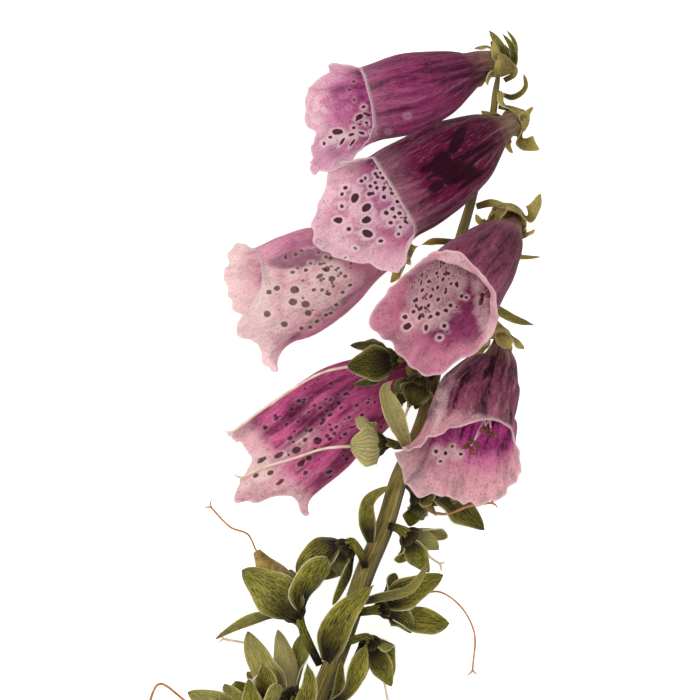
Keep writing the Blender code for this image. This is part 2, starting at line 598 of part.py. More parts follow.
def calyx(name, spec, cup_radius, cup_depth, material):
    stalk = spec["stalk"]
    heading = unit(np.subtract(spec["aim"], stalk[-1][:3]))
    foot = np.array(stalk[-1][:3])
    cup = [(*(foot + heading * cup_depth * share), cup_radius * radius)
           for share, radius in ((0.35, 0.72), (1.0, 1.0))]
    stations = [clear_of_stem(stalk[0])] + [tuple(station) for station in stalk[1:]] + cup
    lobed_cup(name, stations, spec, SEPALS, SEPAL_WALL, 3, sepal_shape, material, cup_depth * 0.55)


def flower_calyx(number, material):
    spec = dict(FLOWER_CALYXES[number])
    bell = BELLS[number]["stations"]
    spec.setdefault("aim", bell[2][:3])
    spec["half_width"] = 1.9
    spec.setdefault("length", 8.0)
    spec.setdefault("lean", 58.0)
    spec["bulge"] = 1.1
    calyx(f"calyx_{number}", spec, CUP_RADIUS, CUP_DEPTH, material)


def stamens(number, material):
    """Four filaments from a ring at the bell's foot, lying along the upper wall."""
    spec = BELLS[number]
    line = through(spec["stations"], 24)
    centres = line[:, :3]
    forward, side, up = frames_along(centres, spec["upper_way"])
    foot = 4
    anthers = 17
    ring_radius = line[foot, 3] * 0.5
    reach = line[anthers, 3]
    tips = [centres[anthers] + side[anthers] * reach * aside + up[anthers] * reach * height
            for aside, height in ((-0.42, 0.36), (-0.14, 0.5), (0.14, 0.5), (0.42, 0.36))]
    stations = [(*centres[foot], ring_radius), (*(centres[foot] + forward[foot] * 0.8), ring_radius)]
    lobes = {"tips": tips, "half_width": 0.9, "bulge": 0.15}
    lobed_cup(f"stamens_{number}", stations, lobes, FILAMENTS, 0.5, 4, filament_shape, material, 0.3)


def pistil(number, material):
    """Egg-shaped ovary at the foot and a long style, just under the stamens."""
    spec = BELLS[number]
    line = through(spec["stations"], 24)
    _, _, up = frames_along(line[:, :3], spec["upper_way"])
    picks = (8, 9, 10, 13, 17)
    radii = (0.35, 0.9, 0.5, 0.35, 0.45)
    flatness = spec.get("flatness", TUBE_FLATNESS)
    rise = flatness * np.array((-0.5, -0.54, -0.52, -0.44, -0.3))
    stations = [(*(line[pick, :3] + up[pick] * line[pick, 3] * height), radius)
                for pick, radius, height in zip(picks, radii, rise)]
    rod(f"pistil_{number}", stations, 7, 5, material)


def fruit(number, sepal_material, capsule_material):
    spec = dict(FRUITS[number])
    foot = np.array(spec["stalk"][-1][:3])
    style = [np.array(point) for point in spec["style"]]
    spec.setdefault("aim", style[0])
    heading = unit(spec["aim"] - foot)
    spec["lean"] = 38.0
    spec["length"] = 10.5
    spec["laid"] = 0.85
    spec.setdefault("half_width", 2.6)
    calyx(f"fruit_calyx_{number}", spec, FRUIT_CUP_RADIUS, FRUIT_CUP_DEPTH, sepal_material)
    start = foot + heading * (FRUIT_CUP_DEPTH * 0.45 + 0.4)
    belly = spec.get("capsule_half_width", CAPSULE_HALF_WIDTH)
    length = spec.get("capsule_length", CAPSULE_LENGTH)
    body = [(*(start + heading * length * share), belly * radius)
            for share, radius in ((0.0, 0.35), (0.3, 0.95), (0.65, 0.9), (1.0, 0.3))]
    thread = [(*point, STYLE_RADIUS) for point in style]
    rod(f"seed_capsule_{number}", body + thread, 12, 6, capsule_material)


def bud_cluster(material):
    """Three buds on one foot: a cup whose lobes are the closed buds."""
    foot = np.array(BUD_FOOT)
    stations = [(*(foot - (0.0, 0.9, 0.0)), 0.5), (*foot, 1.1)]
    lobes = {"tips": BUD_TIPS, "half_width": 0.9, "bulge": 0.6}
    lobed_cup("bud_cluster", stations, lobes, 3, 0.6, 3, sepal_shape, material, 0.3)


def build():
    clear_scene()
    green = principled("stem_green", (0.30, 0.31, 0.11), 0.7)
    sepal_green = principled("sepal_green", (0.25, 0.30, 0.07), 0.65)
    petal = principled("petal_purple", (0.45, 0.16, 0.36), 0.55)
    cream = principled("style_cream", (0.80, 0.66, 0.50), 0.6)
    anther = principled("anther_brown", (0.28, 0.15, 0.06), 0.7)
    rod("stem", STEM, 24, 8, green)
    for number, spec in BELLS.items():
        corolla(number, spec, petal)
        flower_calyx(number, sepal_green)
        stamens(number, anther)
        pistil(number, cream)
    for number in FRUITS:
        fruit(number, sepal_green, cream)
    for name, (stations, way) in BRACTS.items():
        rod(name, [clear_of_stem(stations[0])] + stations[1:], 7, 6, sepal_green, 
            flat=(BRACT_THICKNESS, way))
    bud_cluster(sepal_green)


build()
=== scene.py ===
"""Looks of a foxglove spike that lies on a pale table.

Every visible surface is a grid worked out with numpy: bells are flattened rings carried along a bent axis
and spread into a lip, sepals and bracts are leaf sections carried along a curve, stalks and styles are
round sections carried along a curve. Tables are in millimetres in the spike's own plan: x to the right,
y towards the tip, z up from the table.
"""

import math

import bpy
import numpy as np
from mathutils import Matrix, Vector


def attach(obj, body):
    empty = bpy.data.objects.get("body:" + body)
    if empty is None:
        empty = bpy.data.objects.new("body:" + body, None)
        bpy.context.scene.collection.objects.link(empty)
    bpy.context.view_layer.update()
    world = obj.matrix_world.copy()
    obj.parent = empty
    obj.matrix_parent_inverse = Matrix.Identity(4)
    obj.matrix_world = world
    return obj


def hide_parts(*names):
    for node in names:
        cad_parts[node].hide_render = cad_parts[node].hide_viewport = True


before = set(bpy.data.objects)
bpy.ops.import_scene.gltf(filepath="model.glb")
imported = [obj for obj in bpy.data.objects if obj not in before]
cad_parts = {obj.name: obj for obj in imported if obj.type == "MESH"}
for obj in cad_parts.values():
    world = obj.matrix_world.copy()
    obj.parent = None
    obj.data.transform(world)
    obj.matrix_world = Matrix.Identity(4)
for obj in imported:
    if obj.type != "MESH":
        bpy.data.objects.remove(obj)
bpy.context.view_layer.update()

MM = 0.001
PLAN_MIDDLE = (-1.8, -20.2)
TURN = 2 * math.pi

# Bells: rows and columns of the grids, and walls, hairs and waves of the petal.
TUBE_ROWS = 84
LIP_ROWS = 46
BELL_COLUMNS = 168
THROAT_ROW = TUBE_ROWS - 18             # the long hairs stand from here to the rim
PETAL_WALL = 0.42
RIM_WALL = 0.2
RIM_HAIRS = 1500
THROAT_HAIRS = 260
FLATNESS = 0.86                         # height over width of a bell
FLAT_FROM = 6.0                         # half width from which a bell is as flat as that
PLEAT = 0.022                           # shares of the half width
DENT = 0.022
SMALL_DENT = 0.006
CREASE = 0.004
FULLER = 0.03
LIP_FRILL = 0.035
RIM_ROLL = 0.06
LONGEST_WAVE = 10.0                     # a longer lip waves no more than one of this length
AXIS_ROWS = 24                          # rows of a bell's axis that carry stamens and pistil
FOOT_ROW = 4
BEND_ROW = 11
ANTHER_ROW = 17
FAR = 9.0                               # gap to a spot past which nothing changes

# Leaves, cups, stem, capsules and styles.
LEAF_ROWS = 30
LONG_LEAF_ROWS = 38
LEAF_COLUMNS = 15
LEAF_WALL = 0.42
LEAF_HOLLOW = 0.35
FOLD = 0.1                              # depth of the midrib's fold in half widths
RIBS = 4.5                              # fine ribs across a leaf
LONG_LEAF_HAIRS = 70
FRINGE = (0.25, 0.6)                    # shortest and longest hair on a leaf's edge
FRINGE_WIDTH = 0.045
HAIR_WIDTH = 0.05
SEPALS = 5
CUP_COLUMNS = 40
CUP_WALL = 0.5
LOWEST_TIP = 1.2
STEM_ROWS = 300
STEM_COLUMNS = 44
STEM_HAIRS = 5200
CAPSULE_HALF_WIDTH = 1.65
CAPSULE_LENGTH = 6.5
STYLE_RADIUS = 0.3
SOFT = 3.0                              # petals and leaves lower than this give way to the table

# Stem: centre line from the cut end to the tip, with the radius.
STEM = [
    (-18.7, -111.6, 2.8, 2.9), (-13.2, -96.9, 4.4, 2.75), (-7.3, -80.2, 6.4, 2.6), (-3.4, -70.2, 7.8, 2.4),
    (0.5, -58.8, 9.0, 2.3), (3.8, -49.2, 10.0, 2.3), (7.9, -39.7, 11.0, 2.15), (11.0, -29.3, 11.5, 2.05),
    (14.4, -21.6, 12.0, 1.85), (16.9, -14.8, 12.0, 1.75), (18.7, -6.7, 12.0, 1.65), (21.6, 9.0, 12.0, 1.45),
    (24.9, 24.7, 12.0, 1.25), (27.4, 33.6, 12.0, 1.05), (30.4, 44.8, 12.2, 0.9), (32.4, 53.7, 12.6, 0.8),
    (33.0, 59.0, 13.0, 0.7), (33.4, 61.6, 12.5, 0.5),
]

# Bells. stations: the axis from the foot to the throat, with the half width. upper_way: the way the upper
# side faces. lip: (angle round the throat, length, turn outwards), from the right side over the top.
# spots, pale ground and painted shade (stamen shadows seen through the wall and shaded bands): ovals (x, y,
# half length, half width, turn in degrees) seen from above; each shows only past its own share of belly.
# freckles: (count, first and last length share, spread in degrees, size). anthers: where they stand out of
# the throat.
BELLS = {
    1: {
        "stations": [
            (35.5, 63.6, 16.0, 1.1), (33.5, 64.4, 16.4, 2.2), (29.6, 64.6, 17.2, 2.6),
            (26.4, 62.7, 18.0, 4.5), (22.8, 61.1, 19.0, 6.4), (16.5, 58.4, 20.5, 8.6),
            (10.7, 56.5, 21.6, 9.1), (5.1, 54.9, 21.6, 8.5),
        ],
        "upper_way": (0.1, 0.34, 0.94),
        "lip": [
            (0, 8.0, 46), (8, 5.0, 42), (18, 1.6, 32), (40, 0.7, 40), (90, 0.5, 40), (120, 0.8, 30),
            (150, 2.0, 20), (172, 4.4, 22), (186, 7.3, 30), (200, 14.0, 22), (212, 17.4, 18),
            (226, 17.2, 12), (245, 16.4, 10), (262, 15.2, 8), (274, 14.2, 8), (286, 15.7, 12),
            (305, 15.3, 20), (322, 14.1, 25), (335, 12.6, 26), (344, 8.6, 42), (352, 8.4, 54),
        ],
        "frill": 0.012,
        "spots": [
            (-2.7, 48.9, 1.17, 0.72, 0), (0.4, 48.2, 0.72, 0.34, 20), (2.7, 48.5, 0.72, 0.34, -20),
            (-1.6, 46.7, 1.12, 0.34, 60), (0.7, 46.2, 1.12, 0.31, 60), (-5.8, 46.4, 0.38, 0.38, 0),
            (3.1, 54.7, 0.38, 0.38, 0), (3.8, 50.9, 0.38, 0.38, 0), (0.9, 49.8, 0.38, 0.38, 0),
            (2.2, 52.3, 0.9, 0.58, 30), (12.6, 51.6, 0.49, 0.36, 0), (8.5, 48.2, 0.34, 0.27, 0),
            (-4.3, 47.6, 0.4, 0.29, 0), (4.9, 48.7, 0.36, 0.27, 0),
        ],
        "spot_belly": -1.0,
        "ground": [(-1.6, 47.4, 3.4, 1.2, 10), (-7.6, 55.2, 6.0, 3.0, 90)],
        "shade": [(21.6, 62.4, 8.0, 0.8, 8), (24.0, 60.6, 7.0, 0.6, 14), (26.0, 58.9, 4.5, 0.7, 26)],
        "freckles": (24, 0.85, 1.35, 40, 0.28),
    },
    2: {
        "stations": [
            (38.9, 52.2, 15.5, 1.1), (37.5, 51.6, 16.5, 2.0), (34.0, 49.5, 18.5, 3.1),
            (29.9, 47.3, 21.0, 6.0), (25.1, 43.8, 23.0, 8.6), (21.1, 41.0, 24.2, 9.5),
            (13.7, 36.3, 25.0, 10.3), (10.4, 34.3, 25.0, 10.2),
        ],
        "upper_way": (0.1, 0.34, 0.94),
        "lip": [
            (0, 8.4, 32), (12, 5.0, 30), (24, 0.9, 30), (60, 0.5, 40), (120, 0.5, 40), (160, 0.8, 30),
            (176, 2.6, 50), (188, 7.0, 52), (200, 10.4, 48), (214, 11.8, 34), (230, 13.2, 18),
            (246, 16.4, 6), (262, 19.2, 2), (278, 20.7, 2), (290, 21.0, 4), (300, 20.2, 8), (315, 17.2, 18),
            (328, 13.8, 30), (338, 12.0, 40), (350, 10.6, 38),
        ],
        "frill": 0.02,
        "spots": [
            (1.1, 34.2, 1.12, 0.81, 70), (3.7, 32.0, 1.16, 0.76, 40), (-2.6, 29.1, 0.98, 0.72, 0),
            (3.8, 29.1, 1.07, 0.81, 20), (4.0, 26.0, 1.21, 0.85, -20), (-1.0, 36.5, 0.54, 0.4, 0),
            (-1.8, 35.1, 0.4, 0.4, 0), (-1.8, 32.4, 0.45, 0.45, 0), (-0.2, 27.1, 0.49, 0.49, 0),
            (2.5, 38.0, 0.45, 0.36, 0), (3.4, 38.7, 0.36, 0.36, 0), (7.0, 24.2, 0.54, 0.4, 0),
            (1.2, 22.8, 0.45, 0.36, 0), (-1.1, 20.7, 0.36, 0.36, 0), (5.6, 39.6, 0.34, 0.34, 0),
            (6.7, 39.8, 0.34, 0.34, 0), (6.0, 38.9, 0.34, 0.34, 0), (7.2, 38.7, 0.38, 0.38, 0),
            (5.6, 37.7, 0.36, 0.36, 0), (4.5, 36.9, 0.4, 0.4, 0), (6.0, 36.5, 0.45, 0.45, 0),
            (7.6, 36.5, 0.45, 0.45, 0), (4.2, 35.1, 0.45, 0.45, 0), (5.1, 35.3, 0.36, 0.36, 0),
            (7.6, 34.4, 0.49, 0.49, 0), (10.7, 33.2, 0.45, 0.45, 0), (9.6, 31.5, 0.45, 0.45, 0),
            (8.2, 30.6, 0.51, 0.51, 0), (11.2, 30.6, 0.45, 0.45, 0), (10.1, 29.7, 0.4, 0.4, 0),
            (9.2, 28.4, 0.45, 0.45, 0), (12.5, 28.6, 0.36, 0.36, 0), (11.4, 27.3, 0.4, 0.4, 0),
            (11.0, 25.7, 0.36, 0.36, 0),
        ],
        "ground": [(2.2, 32.4, 6.71, 8.05, 60), (8.5, 32.4, 5.81, 7.6, 60), (0.4, 25.5, 5.81, 4.47, 0)],
        "shade": [
            (23.6, 46.0, 4.3, 1.3, 63), (20.0, 41.0, 3.0, 1.9, 60), (23.2, 41.3, 9.2, 0.7, 31),
            (23.6, 38.7, 3.9, 1.9, 25), (18.8, 35.9, 2.3, 1.0, 30), (17.1, 39.8, 2.3, 1.0, 20),
            (28.6, 42.6, 5.0, 0.5, 38), (26.6, 37.4, 4.4, 0.5, 36),
        ],
        "freckles": (46, 0.66, 1.1, 42, 0.3),
    },
    3: {
        "stations": [
            (12.5, 22.7, 9.0, 1.1), (10.4, 22.3, 8.8, 2.5), (6.4, 21.4, 8.3, 4.5), (0.0, 19.8, 8.22, 8.6),
            (-6.6, 17.5, 8.22, 11.0), (-11.1, 15.4, 8.22, 11.8), (-16.8, 13.0, 8.22, 11.6),
        ],
        "upper_way": (0.0, 0.0, -1.0), "flatness": 0.7,
        "lip": [
            (0, 8.2, 60), (12, 9.8, 60), (22, 9.9, 56), (38, 9.4, 36), (58, 8.2, 8), (74, 9.0, 0),
            (90, 10.2, 0), (120, 10.1, 2), (138, 8.8, 10), (150, 7.4, 18), (163, 6.2, 40), (176, 5.0, 66),
            (188, 2.2, 60), (200, 0.6, 40), (240, 0.8, 20), (262, 3.0, 15), (278, 8.0, 8), (286, 11.0, 6),
            (292, 11.5, 6), (305, 10.0, 12), (322, 8.0, 16), (342, 7.4, 30),
        ],
        "spots": [
            (-12.4, 13.5, 0.99, 0.85, 0), (-12.8, 10.8, 0.94, 0.76, 0), (-10.0, 10.3, 0.94, 0.76, 0),
            (-9.4, 8.3, 0.76, 0.63, 0), (-18.6, 8.1, 0.76, 0.67, 0), (-14.8, 5.8, 0.72, 0.63, 0),
            (-16.4, 13.9, 0.72, 0.58, 0), (-18.2, 13.0, 0.58, 0.49, 0), (-4.1, 16.0, 0.76, 0.63, 20),
            (-5.2, 18.2, 0.72, 0.58, 20), (-6.8, 16.6, 0.9, 0.4, 30), (-9.9, 18.0, 0.45, 0.36, 20),
            (-8.8, 19.5, 0.45, 0.34, 20), (-12.9, 17.5, 0.49, 0.4, 20), (-6.7, 19.3, 0.45, 0.34, 20),
            (-5.8, 19.5, 0.36, 0.29, 20), (-5.4, 20.9, 0.45, 0.34, 20), (-8.1, 13.5, 0.49, 0.4, 20),
            (-6.3, 13.5, 0.45, 0.36, 20), (-4.7, 12.6, 0.45, 0.36, 20), (-3.1, 10.2, 0.45, 0.36, 20),
            (-5.4, 7.9, 0.45, 0.36, 20), (-4.3, 8.3, 0.36, 0.31, 20), (-7.4, 6.5, 0.49, 0.4, 20),
            (-9.0, 5.2, 0.49, 0.36, 20), (-11.0, 4.9, 0.49, 0.4, 20), (-2.7, 18.4, 0.45, 0.31, 20),
            (-1.1, 16.6, 0.49, 0.34, 20), (0.0, 14.6, 0.45, 0.34, 20), (-1.6, 13.0, 0.45, 0.34, 20),
        ],
        "ground": [
            (-13.0, 11.2, 8.99, 5.84, 35), (-5.6, 14.8, 7.64, 5.39, 30), (-19.8, 13.5, 4.49, 5.39, 0),
        ],
        "shade": [(-10.6, 20.6, 7.5, 1.9, 8), (-2.4, 21.6, 4.0, 1.2, 0), (-5.5, 8.2, 9.0, 0.7, 36)],
        "shade_belly": 1.1, "freckles": (34, 0.4, 0.85, 26, 0.3),
    },
    4: {
        "stations": [
            (37.2, 29.8, 17.0, 1.1), (36.6, 28.2, 18.5, 2.0), (35.6, 26.6, 20.1, 3.1),
            (34.1, 24.7, 22.4, 5.0), (30.4, 20.6, 28.0, 7.6), (26.4, 16.2, 34.8, 9.2),
            (22.0, 11.2, 42.0, 10.3),
        ],
        "upper_way": (0.88, -0.34, 0.33), "flatness": 0.95,
        "lip": [
            (0, 7.0, 105), (20, 4.2, 100), (40, 2.2, 100), (60, 2.0, 110), (90, 3.0, 105), (120, 2.8, 80),
            (140, 4.0, 65), (152, 5.0, 60), (163, 7.6, 60), (180, 10.7, 60), (192, 10.6, 60),
            (205, 10.0, 60), (218, 10.2, 60), (230, 10.5, 62), (243, 12.4, 55), (252, 12.2, 50),
            (262, 8.8, 50), (272, 6.0, 50), (285, 3.2, 50), (300, 2.4, 55), (315, 2.4, 60), (335, 3.6, 80),
            (348, 5.2, 95),
        ],
        "spots": [
            (21.9, 9.6, 0.52, 0.43, 0), (20.8, 8.5, 0.48, 0.39, 0), (18.9, 7.8, 0.52, 0.43, 0),
            (16.3, 4.8, 0.65, 0.39, 80), (20.6, 5.0, 0.48, 0.43, 0), (19.5, 2.4, 0.48, 0.43, 0),
            (23.4, 14.3, 0.39, 0.65, 0), (24.5, 11.7, 0.43, 0.43, 0), (25.6, 11.3, 0.35, 0.35, 0),
            (12.2, 5.2, 0.91, 0.69, 20), (11.7, 7.2, 0.56, 0.48, 0), (14.1, 10.9, 0.52, 0.35, 60),
            (15.4, 13.0, 0.52, 0.3, 60), (16.9, 15.0, 0.52, 0.3, 60), (18.7, 16.9, 0.48, 0.28, 60),
            (17.4, 11.7, 0.52, 0.33, 60), (18.9, 13.7, 0.52, 0.3, 60), (20.2, 15.6, 0.48, 0.28, 60),
            (15.2, 9.1, 0.52, 0.37, 60), (16.9, 9.6, 0.48, 0.33, 60), (19.1, 10.9, 0.48, 0.33, 60),
            (20.8, 12.6, 0.48, 0.3, 60), (22.1, 14.5, 0.43, 0.28, 60), (21.5, 16.9, 0.43, 0.26, 60),
            (13.5, 8.3, 0.43, 0.35, 60), (14.8, 6.9, 0.48, 0.37, 60), (17.4, 7.2, 0.43, 0.35, 40),
        ],
        # the third ground oval is painted light: a pale band on the inner face of the right lip, which lies
        # in shade
        "ground": [(18.7, 12.6, 8.4, 6.0, 55), (16.9, 8.7, 5.64, 4.78, 30), (29.2, 7.8, 8.4, 1.9, 101)],
        "ground_belly": -1.0, "freckles": (110, 0.5, 1.06, 34, 0.34),
    },
    5: {
        "stations": [
            (15.7, -3.6, 9.0, 1.1), (13.9, -4.5, 8.8, 2.5), (10.5, -6.1, 8.6, 5.0), (5.9, -8.9, 7.99, 8.2),
            (0.0, -12.5, 7.99, 10.0), (-5.5, -16.4, 7.99, 10.7), (-10.0, -20.5, 7.99, 11.0),
            (-14.5, -24.1, 7.99, 11.1),
        ],
        "upper_way": (0.0, 0.0, -1.0), "flatness": 0.72,
        "lip": [
            (0, 5.0, 50), (30, 3.2, 30), (60, 5.0, 10), (90, 6.0, 0), (120, 6.0, 0), (150, 6.5, 4),
            (168, 7.2, 6), (182, 7.2, 6), (205, 6.8, 10), (232, 5.9, 3), (248, 6.4, 0), (256, 8.6, 0),
            (264, 13.4, 0), (272, 14.4, 2), (281, 13.3, 5), (290, 11.4, 8), (298, 6.8, 12), (307, 4.9, 14),
            (318, 4.3, 14), (332, 4.7, 18), (341, 6.0, 60), (350, 5.6, 66),
        ],
        "spots": [
            (-7.3, -20.4, 0.99, 0.81, 20), (-12.1, -22.5, 0.99, 0.76, 20), (-16.0, -23.6, 1.12, 0.54, 30),
            (-19.8, -24.7, 1.12, 0.49, 30), (-11.1, -25.6, 0.76, 0.58, 20), (-9.2, -24.3, 0.67, 0.54, 20),
            (-17.9, -27.6, 0.76, 0.49, 30), (-21.1, -28.2, 0.67, 0.45, 30), (-15.7, -29.7, 1.12, 0.4, 40),
            (-10.0, -27.6, 0.54, 0.45, 20), (-4.8, -27.6, 0.54, 0.45, 20), (-11.6, -11.5, 0.54, 0.4, 30),
            (-10.3, -11.2, 0.36, 0.29, 30), (-16.6, -15.4, 0.54, 0.45, 30), (-19.1, -17.5, 0.54, 0.45, 30),
            (-4.5, -14.6, 0.54, 0.36, 35), (-2.0, -13.0, 0.49, 0.31, 35), (-6.3, -16.4, 0.54, 0.36, 35),
            (-3.1, -17.3, 0.49, 0.34, 35), (-0.2, -15.1, 0.49, 0.31, 35), (1.6, -12.4, 0.49, 0.29, 35),
            (-8.8, -18.0, 0.54, 0.38, 35), (-1.1, -18.9, 0.49, 0.34, 35), (-4.5, -20.0, 0.54, 0.36, 35),
            (0.7, -17.3, 0.45, 0.29, 35), (2.7, -14.6, 0.45, 0.29, 35), (4.0, -11.9, 0.45, 0.27, 35),
            (-6.7, -13.0, 0.45, 0.31, 35), (-4.5, -11.2, 0.45, 0.29, 35), (-1.1, -9.9, 0.45, 0.27, 35),
            (-10.1, -20.2, 0.54, 0.4, 30), (-13.5, -19.8, 0.54, 0.4, 30),
        ],
        "ground": [(-14.0, -23.0, 7.5, 2.2, 33), (-20.6, -26.6, 5.6, 3.4, 25)],
        "shade": [
            (-5.0, -12.0, 10.0, 1.1, 36), (-2.6, -25.6, 7.5, 1.2, 46), (-9.0, -17.4, 8.5, 0.7, 38),
            (2.0, -19.0, 6.0, 0.9, 48), (-13.6, -15.4, 6.0, 1.0, 38),
        ],
        "shade_belly": 1.1, "freckles": (80, 0.3, 1.0, 60, 0.34),
    },
    6: {
        "stations": [
            (33.7, 2.7, 12.0, 1.1), (33.7, 0.5, 12.4, 2.3), (33.4, -2.5, 13.2, 4.5), (31.9, -5.6, 14.4, 7.0),
            (29.9, -9.4, 16.4, 8.7), (28.1, -12.8, 18.0, 9.6), (27.3, -16.4, 19.4, 10.2),
        ],
        "upper_way": (0.32, 0.28, 0.9),
        "lip": [
            (0, 10.3, 24), (15, 9.2, 16), (30, 7.6, 12), (45, 6.2, 12), (60, 4.8, 15), (80, 2.7, 20),
            (100, 1.2, 40), (120, 0.9, 50), (135, 1.4, 20), (148, 4.0, 28), (160, 6.6, 32), (172, 8.6, 30),
            (185, 10.4, 28), (200, 12.6, 20), (215, 14.4, 12), (230, 15.2, 5), (245, 15.8, 3),
            (256, 15.4, 2), (268, 14.6, 2), (280, 15.8, 5), (292, 16.4, 25), (305, 15.6, 36),
            (318, 13.6, 42), (330, 12.2, 46), (342, 11.6, 44), (352, 10.8, 36),
        ],
        "spots": [
            (19.2, -22.9, 0.45, 0.45, 0), (21.3, -23.3, 0.45, 0.45, 0), (22.9, -21.8, 0.36, 0.31, 0),
            (24.9, -23.6, 0.4, 0.34, 0), (20.2, -25.1, 0.38, 0.34, 0),
        ],
        # the second ground oval is painted light: it pales the lit left side of the tube
        "ground": [(22.0, -22.9, 3.59, 1.79, 0), (20.2, -11.5, 7.5, 2.0, 66)],
        "ground_belly": -1.0, "shade": [(31.8, -3.3, 3.09, 0.66, 80)], "freckles": (4, 0.5, 0.6, 20, 0.2),
        "anthers": [(26.6, -21.6, 23.4), (27.5, -20.4, 24.2), (31.2, -18.3, 25.0), (30.1, -17.3, 24.6)],
    },
}

# Calyxes of the open flowers. stalk: from the stem to the cup, with the radius. aim: the point that the cup
# faces. cup: radius and depth. tips: sepal tips that part from the bell, with the half width where it is
# not the usual one.
FLOWER_CALYXES = {
    1: {
        "stalk": [(34.8, 60.8, 13.2, 0.6), (37.0, 62.2, 13.6, 0.65), (37.0, 63.4, 15.0, 0.75)],
        "cup": (3.0, 5.6),
        "tips": [
            (28.0, 67.7, 15.5, 1.3), (30.6, 59.3, 21.5, 1.1), (27.8, 59.6, 14.0, 1.9),
            (32.2, 69.4, 18.6, 0.9), (28.6, 65.4, 11.3),
        ],
    },
    2: {
        "stalk": [(33.6, 55.0, 12.6, 0.6), (37.5, 54.2, 12.2, 0.7), (39.9, 53.0, 13.6, 0.8)],
        "cup": (3.2, 5.0),
        "tips": [
            (33.4, 57.9, 20.0, 1.3), (40.9, 54.3, 20.5, 0.9), (42.6, 45.0, 15.0, 2.0),
            (29.4, 53.6, 16.6, 1.0), (36.8, 44.6, 10.6, 1.0),
        ],
    },
    3: {
        "stalk": [(23.2, 24.4, 11.2, 0.7), (18.8, 24.6, 9.6, 0.8), (14.2, 23.2, 9.1, 1.0)],
        "tips": [(13.5, 20.2, 16.5), (15.5, 28.0, 9.0)],
    },
    4: {
        "stalk": [(28.6, 32.4, 12.4, 0.7), (31.8, 33.2, 13.0, 0.9), (35.6, 32.0, 15.0, 1.1)],
        "aim": (34.6, 25.0, 22.0), "cup": (4.5, 5.4),
        "tips": [
            (42.8, 35.1, 16.0, 1.8), (41.6, 27.0, 15.0, 1.2), (28.2, 30.4, 17.4, 1.0),
            (42.6, 20.8, 20.0, 0.9), (32.6, 24.0, 11.0),
        ],
    },
    5: {"stalk": [(18.2, -1.0, 11.0, 0.7), (17.2, -2.6, 9.6, 0.9)], "length": 4.6, "lean": 60.0, "tips": []},
    6: {
        "stalk": [(22.5, 9.4, 12.0, 0.8), (29.5, 9.2, 11.4, 1.0), (33.2, 5.6, 11.6, 1.2)],
        "tips": [(28.4, -0.2, 15.6), (39.2, 0.2, 12.5)],
    },
}

